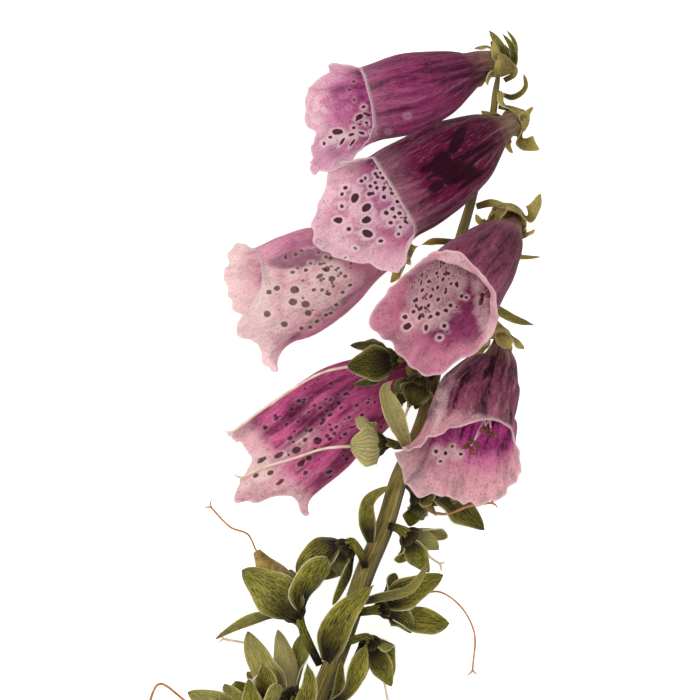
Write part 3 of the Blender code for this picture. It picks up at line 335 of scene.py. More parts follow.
# Flowers past their bells: the same, with the leaves' tone from -1, dark, to 1, pale, and the style's way.
FRUITS = {
    1: {
        "tone": -0.9,
        "stalk": [(18.6, -2.0, 13.4, 0.8), (14.6, -1.4, 17.0, 1.0), (10.9, -1.8, 19.6, 1.3)],
        "tips": [
            (-0.6, -3.6, 23.8, 3.9), (0.8, -7.8, 19.4, 1.6), (0.0, 1.0, 19.8, 1.6), (2.5, 1.4, 15.8, 2.6),
            (2.5, -6.0, 15.4, 2.6),
        ],
        "style": [(-6.0, -5.0, 19.6), (-14.5, -9.8, 18.2), (-21.4, -14.6, 17.2), (-26.4, -18.4, 16.4)],
    },
    2: {
        "tone": 1.1,
        "stalk": [(12.8, -21.6, 13.4, 0.8), (10.6, -21.4, 16.2, 1.0), (8.4, -20.8, 19.6, 1.3)],
        "tips": [
            (0.0, -21.0, 24.6, 4.4), (3.0, -25.8, 19.8, 1.8), (1.2, -14.9, 21.4, 1.8),
            (3.0, -16.8, 16.2, 2.8), (3.6, -24.4, 15.6, 2.8),
        ],
        "style": [(-5.5, -22.0, 19.6), (-13.0, -24.4, 18.2), (-20.0, -26.6, 17.6), (-24.2, -28.6, 17.4)],
    },
    3: {
        "tone": -0.8,
        "stalk": [(18.6, -6.0, 13.8, 0.8), (17.4, -5.0, 16.0, 0.9), (16.0, -5.6, 17.2, 1.1)],
        "tips": [
            (13.9, -12.4, 19.6, 3.6), (9.8, -9.4, 17.0, 2.0), (16.8, -11.4, 17.0, 1.2),
            (11.0, -12.6, 14.8, 2.2), (14.6, -13.4, 14.6, 2.2),
        ],
        "style": [(12.6, -14.2, 16.2), (11.2, -17.8, 15.6)],
    },
    4: {
        "tone": -0.45,
        "stalk": [(12.2, -29.8, 9.0, 0.8), (13.4, -30.8, 7.4, 1.0), (14.6, -32.0, 6.2, 1.3)],
        "aim": (20.0, -38.0, 4.6),
        "tips": [
            (30.9, -41.3, 0.7, 4.2), (13.6, -40.4, 3.0, 2.6), (18.6, -34.4, 10.2, 2.0),
            (24.6, -34.6, 6.0, 2.0), (17.0, -39.0, 0.6, 2.4),
        ],
        "capsule_half_width": 1.1,
        "style": [(22.0, -37.4, 6.4), (27.0, -35.6, 7.0), (32.2, -34.8, 6.6)],
    },
    5: {
        "tone": -0.2,
        "stalk": [(3.4, -49.0, 12.3, 0.8), (2.2, -45.6, 13.4, 1.0), (0.2, -43.6, 12.4, 1.3)],
        "tips": [
            (-12.3, -50.4, 8.6, 4.2), (-4.0, -58.0, 8.4, 1.5), (-6.6, -52.4, 4.4, 2.6),
            (-9.4, -46.6, 4.4, 2.4), (-1.6, -51.6, 6.0, 2.2),
        ],
        "style": [(-7.4, -51.6, 8.0), (-10.0, -54.0, 6.4)],
    },
    6: {
        "tone": 0.25,
        "stalk": [(8.6, -39.6, 12.9, 0.8), (10.6, -40.2, 12.8, 1.0), (12.2, -41.2, 11.4, 1.4)],
        "aim": (18.0, -46.8, 7.8),
        "tips": [(20.0, -45.4, 8.6, 2.4), (17.8, -50.4, 10.6, 2.6), (11.0, -48.4, 8.4, 2.2)],
        "style": [(18.6, -47.4, 7.6), (20.4, -48.6, 7.0)],
    },
    7: {
        "tone": 0.1,
        "stalk": [(-7.0, -71.4, 8.6, 0.9), (-10.0, -65.0, 10.6, 1.1), (-11.4, -61.4, 11.6, 1.3)],
        "aim": (-21.6, -45.2, 8.0),
        "tips": [
            (-24.2, -49.4, 16.6, 5.0), (-5.0, -46.6, 17.4, 4.0), (-30.4, -65.2, 14.4, 1.4),
            (-14.0, -50.6, 1.6, 2.6), (-22.0, -55.6, 1.8, 2.6),
        ],
        "capsule_half_width": 4.2, "capsule_length": 17.4, "style_radius": 0.22,
        "style": [(-21.4, -45.4, 8.2), (-23.0, -42.0, 9.6), (-27.0, -40.0, 12.6), (-31.4, -35.6, 12.0)],
    },
    8: {
        "tone": -0.35,
        "stalk": [(1.4, -59.6, 10.6, 0.8), (3.6, -59.0, 12.0, 1.0), (6.0, -58.7, 11.4, 1.3)],
        "tips": [
            (21.2, -51.2, 8.6, 3.4), (22.8, -62.8, 1.2, 4.0), (10.4, -50.8, 8.0, 2.2),
            (14.0, -64.6, 4.6, 2.6), (15.0, -55.0, 2.6, 2.6),
        ],
        "style_radius": 0.22,
        "style": [(20.4, -55.2, 5.6), (25.4, -58.8, 3.6), (28.4, -64.4, 2.0), (28.2, -73.6, 0.36)],
    },
    9: {
        "tone": 0.1,
        "stalk": [(-2.2, -67.4, 9.8, 0.8), (0.6, -65.6, 11.6, 0.9), (3.8, -65.2, 10.8, 1.2)],
        "tips": [(9.4, -67.4, 12.4, 2.2), (8.8, -76.6, 2.0, 3.8), (2.6, -75.6, 8.6, 2.2)],
        "style": [(7.4, -74.4, 5.0), (8.6, -80.0, 3.0), (9.8, -86.0, 1.6)],
    },
    10: {
        "tone": 0.4,
        "stalk": [(-12.4, -88.4, 7.6, 0.9), (-13.4, -84.0, 10.6, 1.0), (-13.0, -79.2, 11.6, 1.3)],
        "tips": [
            (-23.2, -64.0, 8.0, 3.7), (-10.6, -64.8, 4.2, 3.0), (-16.6, -64.0, 2.6, 2.6),
            (-23.4, -73.6, 4.0, 2.6),
        ],
        "style": [(-18.0, -71.2, 7.4), (-22.5, -67.6, 4.0), (-28.8, -66.0, 5.0)],
    },
    11: {
        "tone": 0.3,
        "stalk": [(-17.0, -96.6, 4.8, 0.9), (-20.0, -92.0, 6.6, 1.1), (-24.2, -87.6, 6.4, 1.3)],
        "tips": [
            (-37.0, -78.0, 6.4, 4.0), (-26.0, -75.8, 3.4, 3.0), (-36.0, -88.6, 4.0, 3.0),
            (-30.0, -79.0, 10.4, 2.6),
        ],
        "style": [(-37.2, -80.6, 4.0), (-43.6, -76.4, 4.0), (-46.6, -82.4, 1.6)],
    },
    12: {
        "tone": 0.1,
        "stalk": [(-16.2, -91.0, 8.0, 0.9), (-19.0, -86.4, 12.0, 1.1), (-20.4, -83.0, 14.4, 1.3)],
        "tips": [(-19.6, -70.4, 17.6, 3.2), (-26.0, -74.6, 14.4, 2.6), (-22.6, -73.4, 20.8, 2.4)],
        "style": [(-21.2, -77.4, 17.0), (-21.8, -74.4, 17.4)],
    },
}

# Bracts: the way the flat side faces, the tone, and the centre line with the half width.
BRACTS = {
    1: {
        "way": (0.5, -0.3, 1.0), "tone": 0.3,
        "stations": [
            (34.2, 57.8, 12.8, 0.4), (36.6, 57.2, 11.4, 0.7), (39.6, 59.6, 11.6, 0.6),
            (39.3, 62.5, 11.8, 0.3),
        ],
    },
    2: {
        "way": (0.0, 0.0, 1.0), "tone": 0.2,
        "stations": [
            (23.4, 6.0, 10.6, 0.6), (31.0, 9.8, 7.8, 1.1), (37.9, 6.8, 8.4, 0.9), (42.0, 5.6, 8.8, 0.3),
        ],
    },
    3: {
        "way": (0.0, 0.0, 1.0), "tone": 0.8,
        "stations": [
            (13.6, -25.4, 14.2, 0.8), (12.3, -20.4, 21.7, 1.3), (9.4, -13.2, 23.0, 2.2),
            (7.9, -8.7, 23.4, 1.2), (9.6, -6.6, 26.0, 0.35),
        ],
    },
    4: {
        "way": (-0.3, 0.0, 1.0), "tone": 0.1,
        "stations": [
            (4.7, -43.4, 13.6, 0.9), (4.1, -39.0, 15.2, 2.0), (4.4, -34.0, 16.0, 1.5),
            (9.0, -30.3, 16.6, 0.35),
        ],
    },
    5: {
        "way": (-0.3, 0.0, 1.0), "tone": -0.1,
        "stations": [
            (-5.2, -70.4, 11.4, 1.2), (-3.6, -64.5, 17.0, 3.6), (-0.6, -58.6, 19.4, 3.0),
            (5.4, -52.4, 20.0, 0.4),
        ],
    },
    6: {
        "way": (0.3, 0.0, 1.0), "tone": 0.0,
        "stations": [(-5.4, -86.0, 7.2, 1.0), (-3.4, -80.4, 8.2, 1.7), (-1.9, -69.8, 11.4, 0.4)],
    },
    7: {
        "way": (-0.3, 0.0, 1.0), "tone": 0.0,
        "stations": [
            (-9.6, -86.4, 10.4, 1.0), (-10.0, -80.5, 16.2, 2.4), (-8.8, -74.6, 18.2, 1.8),
            (-9.6, -70.0, 19.0, 0.4),
        ],
    },
    8: {
        "way": (0.0, 0.0, 1.0), "tone": 0.2,
        "stations": [
            (3.2, -56.8, 13.0, 0.7), (6.0, -55.6, 17.4, 1.0), (13.6, -53.4, 17.6, 1.1),
            (17.8, -47.6, 15.6, 0.3),
        ],
    },
    9: {
        "way": (0.3, 0.0, 1.0), "tone": 0.0,
        "stations": [
            (-5.0, -80.6, 12.0, 0.8), (-0.4, -76.6, 15.4, 1.4), (1.6, -71.0, 16.6, 2.2),
            (3.8, -65.8, 16.8, 0.35),
        ],
    },
}

# Leaves on the tip, as the bracts, and closed buds: centre lines with the radius.
TIP_LEAVES = [
    {
        "way": (0.4, 0.0, 1.0),
        "stations": [
            (34.4, 62.5, 10.6, 0.5), (36.6, 64.5, 11.4, 1.0), (36.4, 68.4, 12.4, 0.8),
            (34.3, 71.6, 12.8, 0.1),
        ],
    },
    {
        "way": (-0.3, 0.1, 1.0),
        "stations": [
            (34.2, 62.8, 10.4, 0.5), (34.6, 66.6, 11.6, 1.3), (32.9, 70.2, 12.4, 0.9),
            (31.2, 72.4, 12.6, 0.1),
        ],
    },
    {
        "way": (0.5, 0.0, 1.0),
        "stations": [
            (36.4, 62.4, 10.8, 0.35), (37.5, 66.0, 11.2, 0.35), (37.1, 69.6, 11.8, 0.5),
            (35.2, 72.6, 12.0, 0.08),
        ],
    },
]
TIP_BUDS = [
    [(34.6, 63.0, 10.6, 0.6), (35.2, 65.4, 11.0, 1.3), (35.0, 67.6, 11.4, 1.2), (34.2, 69.4, 11.8, 0.25)],
    [(33.8, 64.6, 10.6, 0.5), (33.0, 67.4, 11.2, 0.95), (31.9, 69.8, 11.8, 0.2)],
]


# ---------------------------------------------------------------- curves and frames

def shares(count):
    """A column of even shares from 0 to 1."""
    return np.linspace(0.0, 1.0, count)[:, None]


def round_angles(count):
    """Even angles once round, without the last."""
    return np.linspace(0.0, TURN, count, endpoint=False)


def cubic(values, knots, steps, at):
    """Cubic pieces through the values at the knots, each with the mean slope of its two sides."""
    slopes = np.gradient(values, knots, axis=0)
    piece = np.clip(np.searchsorted(knots, at, side="right") - 1, 0, len(steps) - 1)
    width = steps[piece][:, None]
    part = (at - knots[piece])[:, None] / width
    return (values[piece] * (2 * part**3 - 3 * part**2 + 1)
            + values[piece + 1] * (3 * part**2 - 2 * part**3)
            + slopes[piece] * width * (part**3 - 2 * part**2 + part)
            + slopes[piece + 1] * width * (part**3 - part**2))


def curve_through(points, count):
    """Cubic pieces through the points, evenly spaced by the straight steps between them."""
    points = np.asarray(points, float)
    steps = np.linalg.norm(np.diff(points[:, :3], axis=0), axis=1)
    knots = np.concatenate([[0.0], np.cumsum(steps)])
    return cubic(points, knots, steps, np.linspace(0.0, knots[-1], count))


def round_the_lip(table, angles):
    """Length and turn of the lip at each angle in degrees: cubic pieces through the table, joined round."""
    table = np.asarray(table, float)
    once = (360.0, 0.0, 0.0)
    wrapped = np.vstack([table[-2:] - once, table, table[:2] + once])
    made = cubic(wrapped, wrapped[:, 0], np.diff(wrapped[:, 0]), angles)
    return np.maximum(made[:, 1], 0.4), np.maximum(made[:, 2], 2.0)


def unit(vectors):
    """Each vector over its length."""
    vectors = np.asarray(vectors, float)
    return vectors / np.maximum(np.linalg.norm(vectors, axis=-1, keepdims=True), 1e-12)


def frames(centres, hint):
    """Forward, side and up at each centre; up leans as near as it can to the hint."""
    forward = unit(np.gradient(centres, axis=0))
    side = unit(np.cross(forward, np.broadcast_to(hint, forward.shape)))
    return forward, side, np.cross(side, forward)


def carried_frames(centres):
    """Frames carried along a bending line without twist: each side vector is the last one, squared to the
    new direction."""
    forward = unit(np.gradient(centres, axis=0))
    side = [unit(np.cross(forward[0], (0.31, 0.17, 0.94)))]
    for direction in forward[1:]:
        side.append(unit(side[-1] - direction * np.dot(side[-1], direction)))
    side = np.array(side)
    return forward, side, np.cross(side, forward)


def sections(centres, side, up, out, above):
    """Grid of points at centre + side out + up above, one section a centre."""
    return centres[:, None] + side[:, None] * out[..., None] + up[:, None] * above[..., None]


def smooth_step(value, low, high):
    """3 p^2 - 2 p^3 of the share p of the way from low to high."""
    part = np.clip((value - low) / (high - low), 0.0, 1.0)
    return part * part * (3 - 2 * part)


def dip(value, middle, spread):
    """Bell curve exp(-((value - middle) / spread)^2)."""
    return np.exp(-((value - middle) / spread) ** 2)


def waves(angle, counts, seed):
    """Sum of sines round the circle with the given counts and seeded starts, about 1 high."""
    starts = np.random.default_rng(seed).uniform(0.0, TURN, len(counts))
    total = sum(np.sin(count * angle + start) for count, start in zip(counts, starts))
    return total / math.sqrt(len(counts))


# ---------------------------------------------------------------- grids into meshes

def grid_part(grid, first_pole, last_pole, uv=None, seam=1.0, slot=0, **values):
    """Quads between neighbouring rows and columns of a grid that closes round its columns, with fans to
    the two poles. uv is (along, around) for each point, and the quads that close it end at around = seam.
    Other values are one number a point."""
    rows, columns = grid.shape[:2]
    row, column = np.meshgrid(np.arange(rows - 1), np.arange(columns), indexing="ij")
    after = (column + 1) % columns
    quads = np.stack([row * columns + column, row * columns + after,
                      (row + 1) * columns + after, (row + 1) * columns + column], -1).reshape(-1, 4)
    here, last, pole = np.arange(columns), (rows - 1) * columns, rows * columns
    there = (here + 1) % columns
    fans = np.concatenate([np.stack([there, here, np.full(columns, pole)], -1),
                           np.stack([last + here, last + there, np.full(columns, pole + 1)], -1)])
    along, around = uv or (shares(rows) * np.ones(columns),
                           np.ones((rows, 1)) * round_angles(columns) / TURN)

    def with_poles(value):
        """The value at every point, then at the poles as at the first point of their rows."""
        return np.append(value.reshape(-1), value.reshape(-1)[[0, last]])

    flat = np.stack([with_poles(along), np.append(around.reshape(-1), [0.5, 0.5])], -1)
    quad_uv = flat[quads]
    closing = column.reshape(-1) == columns - 1
    quad_uv[closing, 1:3, 1] = seam
    return {"points": np.vstack([grid.reshape(-1, 3), [first_pole], [last_pole]]), "slot": slot,
            "quads": quads, "fans": fans, "quad_uv": quad_uv, "fan_uv": flat[fans],
            "values": {name: with_poles(value) for name, value in values.items()}}


def turned_out(part):
    """The part with its faces turned over if its signed volume is negative."""
    points, quads = part["points"], part["quads"]
    tris = np.vstack([quads[:, :3], quads[:, (0, 2, 3)], part["fans"]])
    a, b, c = points[tris[:, 0]], points[tris[:, 1]], points[tris[:, 2]]
    if np.einsum("ij,ij->i", a, np.cross(b, c)).sum() < 0:
        for name in ("quads", "fans", "quad_uv", "fan_uv"):
            part[name] = part[name][:, ::-1]
    return part


def rested(points):
    """Presses what would dip under the table up onto it: the height range from the lowest point to SOFT
    becomes nought to SOFT, z = SOFT - (SOFT - z) SOFT / (SOFT - lowest)."""
    lowest = min(points[:, 2].min(), 0.0)
    height = SOFT - (SOFT - points[:, 2]) * SOFT / (SOFT - lowest)
    return np.column_stack([points[:, :2], np.where(points[:, 2] < SOFT, height, points[:, 2])])


def make_piece(name, parts, materials, node_name):
    """One object from the parts, riding on the root body and standing for the given CAD node."""
    parts = [turned_out(part) for part in parts]
    offset = 0
    loops, sizes, uvs, slots = [], [], [], []
    for part in parts:
        for faces, uv in ((part["quads"], part["quad_uv"]), (part["fans"], part["fan_uv"])):
            loops.append((faces + offset).reshape(-1))
            sizes.append(np.full(len(faces), faces.shape[1]))
            uvs.append(uv.reshape(-1, 2))
            slots.append(np.full(len(faces), part["slot"]))
        offset += len(part["points"])
    points = (rested(np.vstack([part["points"] for part in parts])) - (*PLAN_MIDDLE, 0.0)) * MM
    loops, sizes = np.concatenate(loops), np.concatenate(sizes)
    mesh = bpy.data.meshes.new(name)
    mesh.vertices.add(len(points))
    mesh.vertices.foreach_set("co", points.reshape(-1).astype(np.float32))
    mesh.loops.add(len(loops))
    mesh.loops.foreach_set("vertex_index", loops.astype(np.int32))
    mesh.polygons.add(len(sizes))
    mesh.polygons.foreach_set("loop_start", np.concatenate([[0], np.cumsum(sizes)[:-1]]).astype(np.int32))
    mesh.polygons.foreach_set("material_index", np.concatenate(slots).astype(np.int32))
    mesh.update(calc_edges=True)
    layer = mesh.uv_layers.new(name="skin")
    layer.data.foreach_set("uv", np.vstack(uvs).reshape(-1).astype(np.float32))
    for key in sorted({key for part in parts for key in part["values"]}):
        column = np.concatenate([part["values"].get(key, np.zeros(len(part["points"]))) for part in parts])
        mesh.attributes.new(key, "FLOAT", "POINT").data.foreach_set("value", column.astype(np.float32))
    for material in materials:
        mesh.materials.append(material)
    mesh.shade_smooth()
    piece = bpy.data.objects.new(name, mesh)
    bpy.context.collection.objects.link(piece)
    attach(piece, "root")
    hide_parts(node_name)


def grid_normals(grid):
    """Unit normals of a grid that is closed round its columns."""
    along = np.gradient(grid, axis=0)
    around = (np.roll(grid, -1, axis=1) - np.roll(grid, 1, axis=1)) / 2
    return unit(np.cross(around, along))


# ---------------------------------------------------------------- stalks, threads and hairs

def rod_part(stations, rows, columns, slot=0, ridges=None, **values):
    """Round sections carried along a curve; ridges(along, angle) multiplies the radius."""
    line = curve_through(stations, rows)
    centres = line[:, :3]
    _, side, up = carried_frames(centres)
    angle = round_angles(columns)
    radius = line[:, 3:4] * (ridges(shares(rows), angle) if ridges else np.ones(columns))
    grid = sections(centres, side, up, radius * np.cos(angle), radius * np.sin(angle))
    values = {name: np.full(grid.shape[:2], value) for name, value in values.items()}
    return grid_part(grid, centres[0], centres[-1], slot=slot, **values)


def hair_part(roots, ways, lengths, width, seed):
    """Three-sided needles: each root gets a small triangle and one point a length away, a little askew."""
    random = np.random.default_rng(seed)
    ways = unit(unit(ways) + random.normal(0.0, 0.33, roots.shape))
    side = unit(np.cross(ways, random.normal(0.0, 1.0, roots.shape)))
    up = np.cross(ways, side)
    tips = roots + ways * lengths[:, None]
    sunk = roots - ways * 0.05
    feet = [sunk + (side * math.cos(turn) + up * math.sin(turn)) * width / 2
            for turn in np.arange(3) * TURN / 3]
    base = np.arange(len(roots))[:, None, None] * 4
    tris = (base + np.array([[0, 1, 3], [1, 2, 3], [2, 0, 3], [0, 2, 1]])).reshape(-1, 3)
    return {"points": np.stack([*feet, tips], 1).reshape(-1, 3), "slot": 1,
            "quads": np.zeros((0, 4), int), "fans": tris,
            "quad_uv": np.zeros((0, 4, 2)), "fan_uv": np.zeros((len(tris), 3, 2)), "values": {}}


def hairs_on(grid, count, length, seed, weight):
    """Needles on a closed grid, along its normals, at seeded places that are denser where it weighs more."""
    random = np.random.default_rng(seed)
    normals = grid_normals(grid).reshape(-1, 3)
    points = grid.reshape(-1, 3)
    chance = weight.reshape(-1)
    picks = random.choice(len(points), count, p=chance / chance.sum())
    jitter = random.normal(0.0, 0.12, (count, 3))
    lengths = length * random.uniform(0.5, 1.3, count)
    return hair_part(points[picks] + jitter * 0.4, normals[picks], lengths, HAIR_WIDTH, seed + 1)


# ---------------------------------------------------------------- materials

def chip(red, green, blue):
    """Colour of a paint chip given in everyday 0 to 255 values, as the shader wants it."""
    share = np.array((red, green, blue)) / 255.0
    linear = np.where(share <= 0.04045, share / 12.92, ((share + 0.055) / 1.055) ** 2.4)
    return (*[float(value) for value in linear], 1.0)


def feed(made, inputs):
    """Links each socket and sets each constant on the node's inputs, and gives its outputs."""
    for name, value in inputs.items():
        if isinstance(value, bpy.types.NodeSocket):
            made.id_data.links.new(value, made.inputs[name])
        else:
            made.inputs[name].default_value = value
    return made.outputs


def node(kind, inputs, **settings):
    """Outputs of a new node of the kind, in the tree that its inputs come from."""
    tree = next(value.id_data for value in inputs.values() if isinstance(value, bpy.types.NodeSocket))
    made = tree.nodes.new(kind)
    for name, value in settings.items():
        setattr(made, name, value)
    return feed(made, inputs)


def maths(operation, first, second=0.0):
    """The operation on one or two numbers."""
    return node("ShaderNodeMath", {0: first, 1: second}, operation=operation)[0]


def times(first, second):
    """first x second."""
    return maths("MULTIPLY", first, second)


def plus(first, second):
    """first + second."""
    return maths("ADD", first, second)


def swing(value, reach):
    """The value less a half, times the reach."""
    return times(maths("SUBTRACT", value, 0.5), reach)


def at_least(value, low):
    """low + (1 - low) value."""
    return plus(times(value, 1.0 - low), low)


def fade(value, low, high, start=0.0, end=1.0):
    """Smooth way from start, where the value is low, to end, where it is high."""
    return node("ShaderNodeMapRange", {0: value, 1: low, 2: high, 3: start, 4: end},
                interpolation_type="SMOOTHSTEP")[0]


def coats(base, *layers):
    """The base with each (share, tint) laid over it in turn: base (1 - share) + tint share."""
    for share, tint in layers:
        base = node("ShaderNodeMix", {0: share, 6: base, 7: tint}, data_type="RGBA", clamp_factor=True)[2]
    return base


def cloud(place, scale, detail=3.0, roughness=0.55):
    """Soft noise from 0 to 1."""
    inputs = {"Vector": place, "Scale": scale, "Detail": detail, "Roughness": roughness}
    return node("ShaderNodeTexNoise", inputs)[0]


def own_value(shader, name):
    """The surface's own number of that name."""
    made = shader.id_data.nodes.new("ShaderNodeAttribute")
    made.attribute_name = name
    return made.outputs["Fac"]


def bump(height, distance):
    """Normals that lean as the height, times the distance, slopes."""
    return node("ShaderNodeBump", {"Height": height, "Distance": distance})[0]


def effect(name, inputs, outputs, fill):
    """A node group with the named number sockets, and Place as a vector, filled by fill(inputs)."""
    tree = bpy.data.node_groups.new(name, "ShaderNodeTree")
    for label in inputs:
        kind = "NodeSocketVector" if label == "Place" else "NodeSocketFloat"
        tree.interface.new_socket(name=label, in_out="INPUT", socket_type=kind)
    for label in outputs:
        tree.interface.new_socket(name=label, in_out="OUTPUT", socket_type="NodeSocketFloat")
    made = fill(tree.nodes.new("NodeGroupInput").outputs)
    feed(tree.nodes.new("NodeGroupOutput"), made)
    return tree


def use(group, **inputs):
    """Outputs of the group, placed with its own values."""
    return node("ShaderNodeGroup", inputs, node_tree=group)


def thin_lines(turn):
    """A line at each whole turn: 1 where the sine of pi times the turn is near nought."""
    wave = maths("ABSOLUTE", maths("SINE", times(turn, math.pi)))
    return fade(wave, 0.05, 0.42, 1.0, 0.0)


def fill_long_veins(given):
    """Thin wandering lines that run lengthwise, Count of them round, stronger in patches."""
    wander = swing(cloud(given["Place"], 150.0), 1.6)
    turn = plus(times(given["Around"], given["Count"]), wander)
    patchy = fade(cloud(given["Place"], 320.0, 2.0), 0.35, 0.65, 0.35, 1.0)
    return {"Lines": times(thin_lines(turn), patchy)}


def fill_spot_marks(given):
    """Ragged dark core where the gap to a spot's edge is negative, and a halo just outside it."""
    gap = plus(given["Gap"], swing(cloud(given["Place"], 1300.0), 0.45))
    return {"Core": fade(gap, -0.06, 0.16, 1.0, 0.0), "Halo": fade(gap, 0.10, 0.95, 1.0, 0.0)}


def fill_leaf_veins(given):
    """Lengthwise veins that close in on the leaf's tip, with a net of long cells between them."""
    wander = swing(cloud(given["Place"], 260.0, 2.0), 1.1)
    turn = plus(times(given["Across"], given["Count"]), wander)
    lines = thin_lines(turn)
    cells = node("ShaderNodeCombineXYZ", {0: times(turn, 1.5), 1: times(given["Along"], 7.0), 2: wander})
    net = node("ShaderNodeTexVoronoi", {"Vector": cells[0], "Scale": 1.0}, feature="DISTANCE_TO_EDGE")
    return {"Lines": maths("MAXIMUM", lines, fade(net["Distance"], 0.01, 0.11, 0.6, 0.0)), "Main": lines}


def fill_drawn_grain(given):
    """Grain drawn out lengthwise: noise on a drum round the bell, Fine wide and Long high, bent a little
    by softer noise."""
    turn = times(given["Around"], TURN)
    bend = swing(cloud(given["Place"], 130.0, 2.0), given["Bend"])
    drum = node("ShaderNodeCombineXYZ", {
        0: plus(times(maths("COSINE", turn), given["Fine"]), bend),
        1: plus(times(maths("SINE", turn), given["Fine"]), bend),
        2: times(given["Along"], given["Long"])})
    return {"Grain": cloud(drum[0], 1.0, 2.0, 0.6)}


def fill_felt(given):
    """Height of short down: fine grain over a coarser pucker."""
    fine = cloud(given["Place"], 2600.0, 2.0)
    pucker = cloud(given["Place"], 700.0)
    return {"Height": plus(times(fine, 0.45), times(pucker, 0.55))}


LONG_VEINS = effect("lengthwise veins", ["Place", "Around", "Count"], ["Lines"], fill_long_veins)
SPOT_MARKS = effect("spots with a halo", ["Place", "Gap"], ["Core", "Halo"], fill_spot_marks)
LEAF_VEINS = effect("leaf veins", ["Place", "Along", "Across", "Count"], ["Lines", "Main"], fill_leaf_veins)
DRAWN_GRAIN = effect("grain drawn out lengthwise", ["Place", "Along", "Around", "Fine", "Long", "Bend"],
                     ["Grain"], fill_drawn_grain)
FELT = effect("short down", ["Place"], ["Height"], fill_felt)

SHADE_TINT = chip(44, 4, 22)
PALE_AND_LIT_EDGE = chip(250, 230, 228)
PALE_LEAF = chip(222, 206, 160)
DRIED_TIP = chip(150, 95, 60)
BLACK = (0.0, 0.0, 0.0, 1.0)


def start_material(name):
    """A material with its shader, the place on the piece, and the shares along and around."""
    material = bpy.data.materials.new(name)
    material.use_nodes = True
    nodes = material.node_tree.nodes
    places = nodes.new("ShaderNodeTexCoord").outputs
    skin = node("ShaderNodeSeparateXYZ", {0: places["UV"]})
    return material, nodes["Principled BSDF"], places["Object"], skin[0], skin[1]


def see_through(shader, colour, share):
    """Lets a share of the light through: the shader mixed with a translucent one of a lighter colour."""
    lighter = node("ShaderNodeGamma", {"Color": colour, "Gamma": 0.75})[0]
    through = node("ShaderNodeBsdfTranslucent", {"Color": lighter})[0]
    mixed = node("ShaderNodeMixShader", {0: share, 1: shader.outputs[0], 2: through})[0]
    feed(shader.id_data.nodes["Material Output"], {"Surface": mixed})


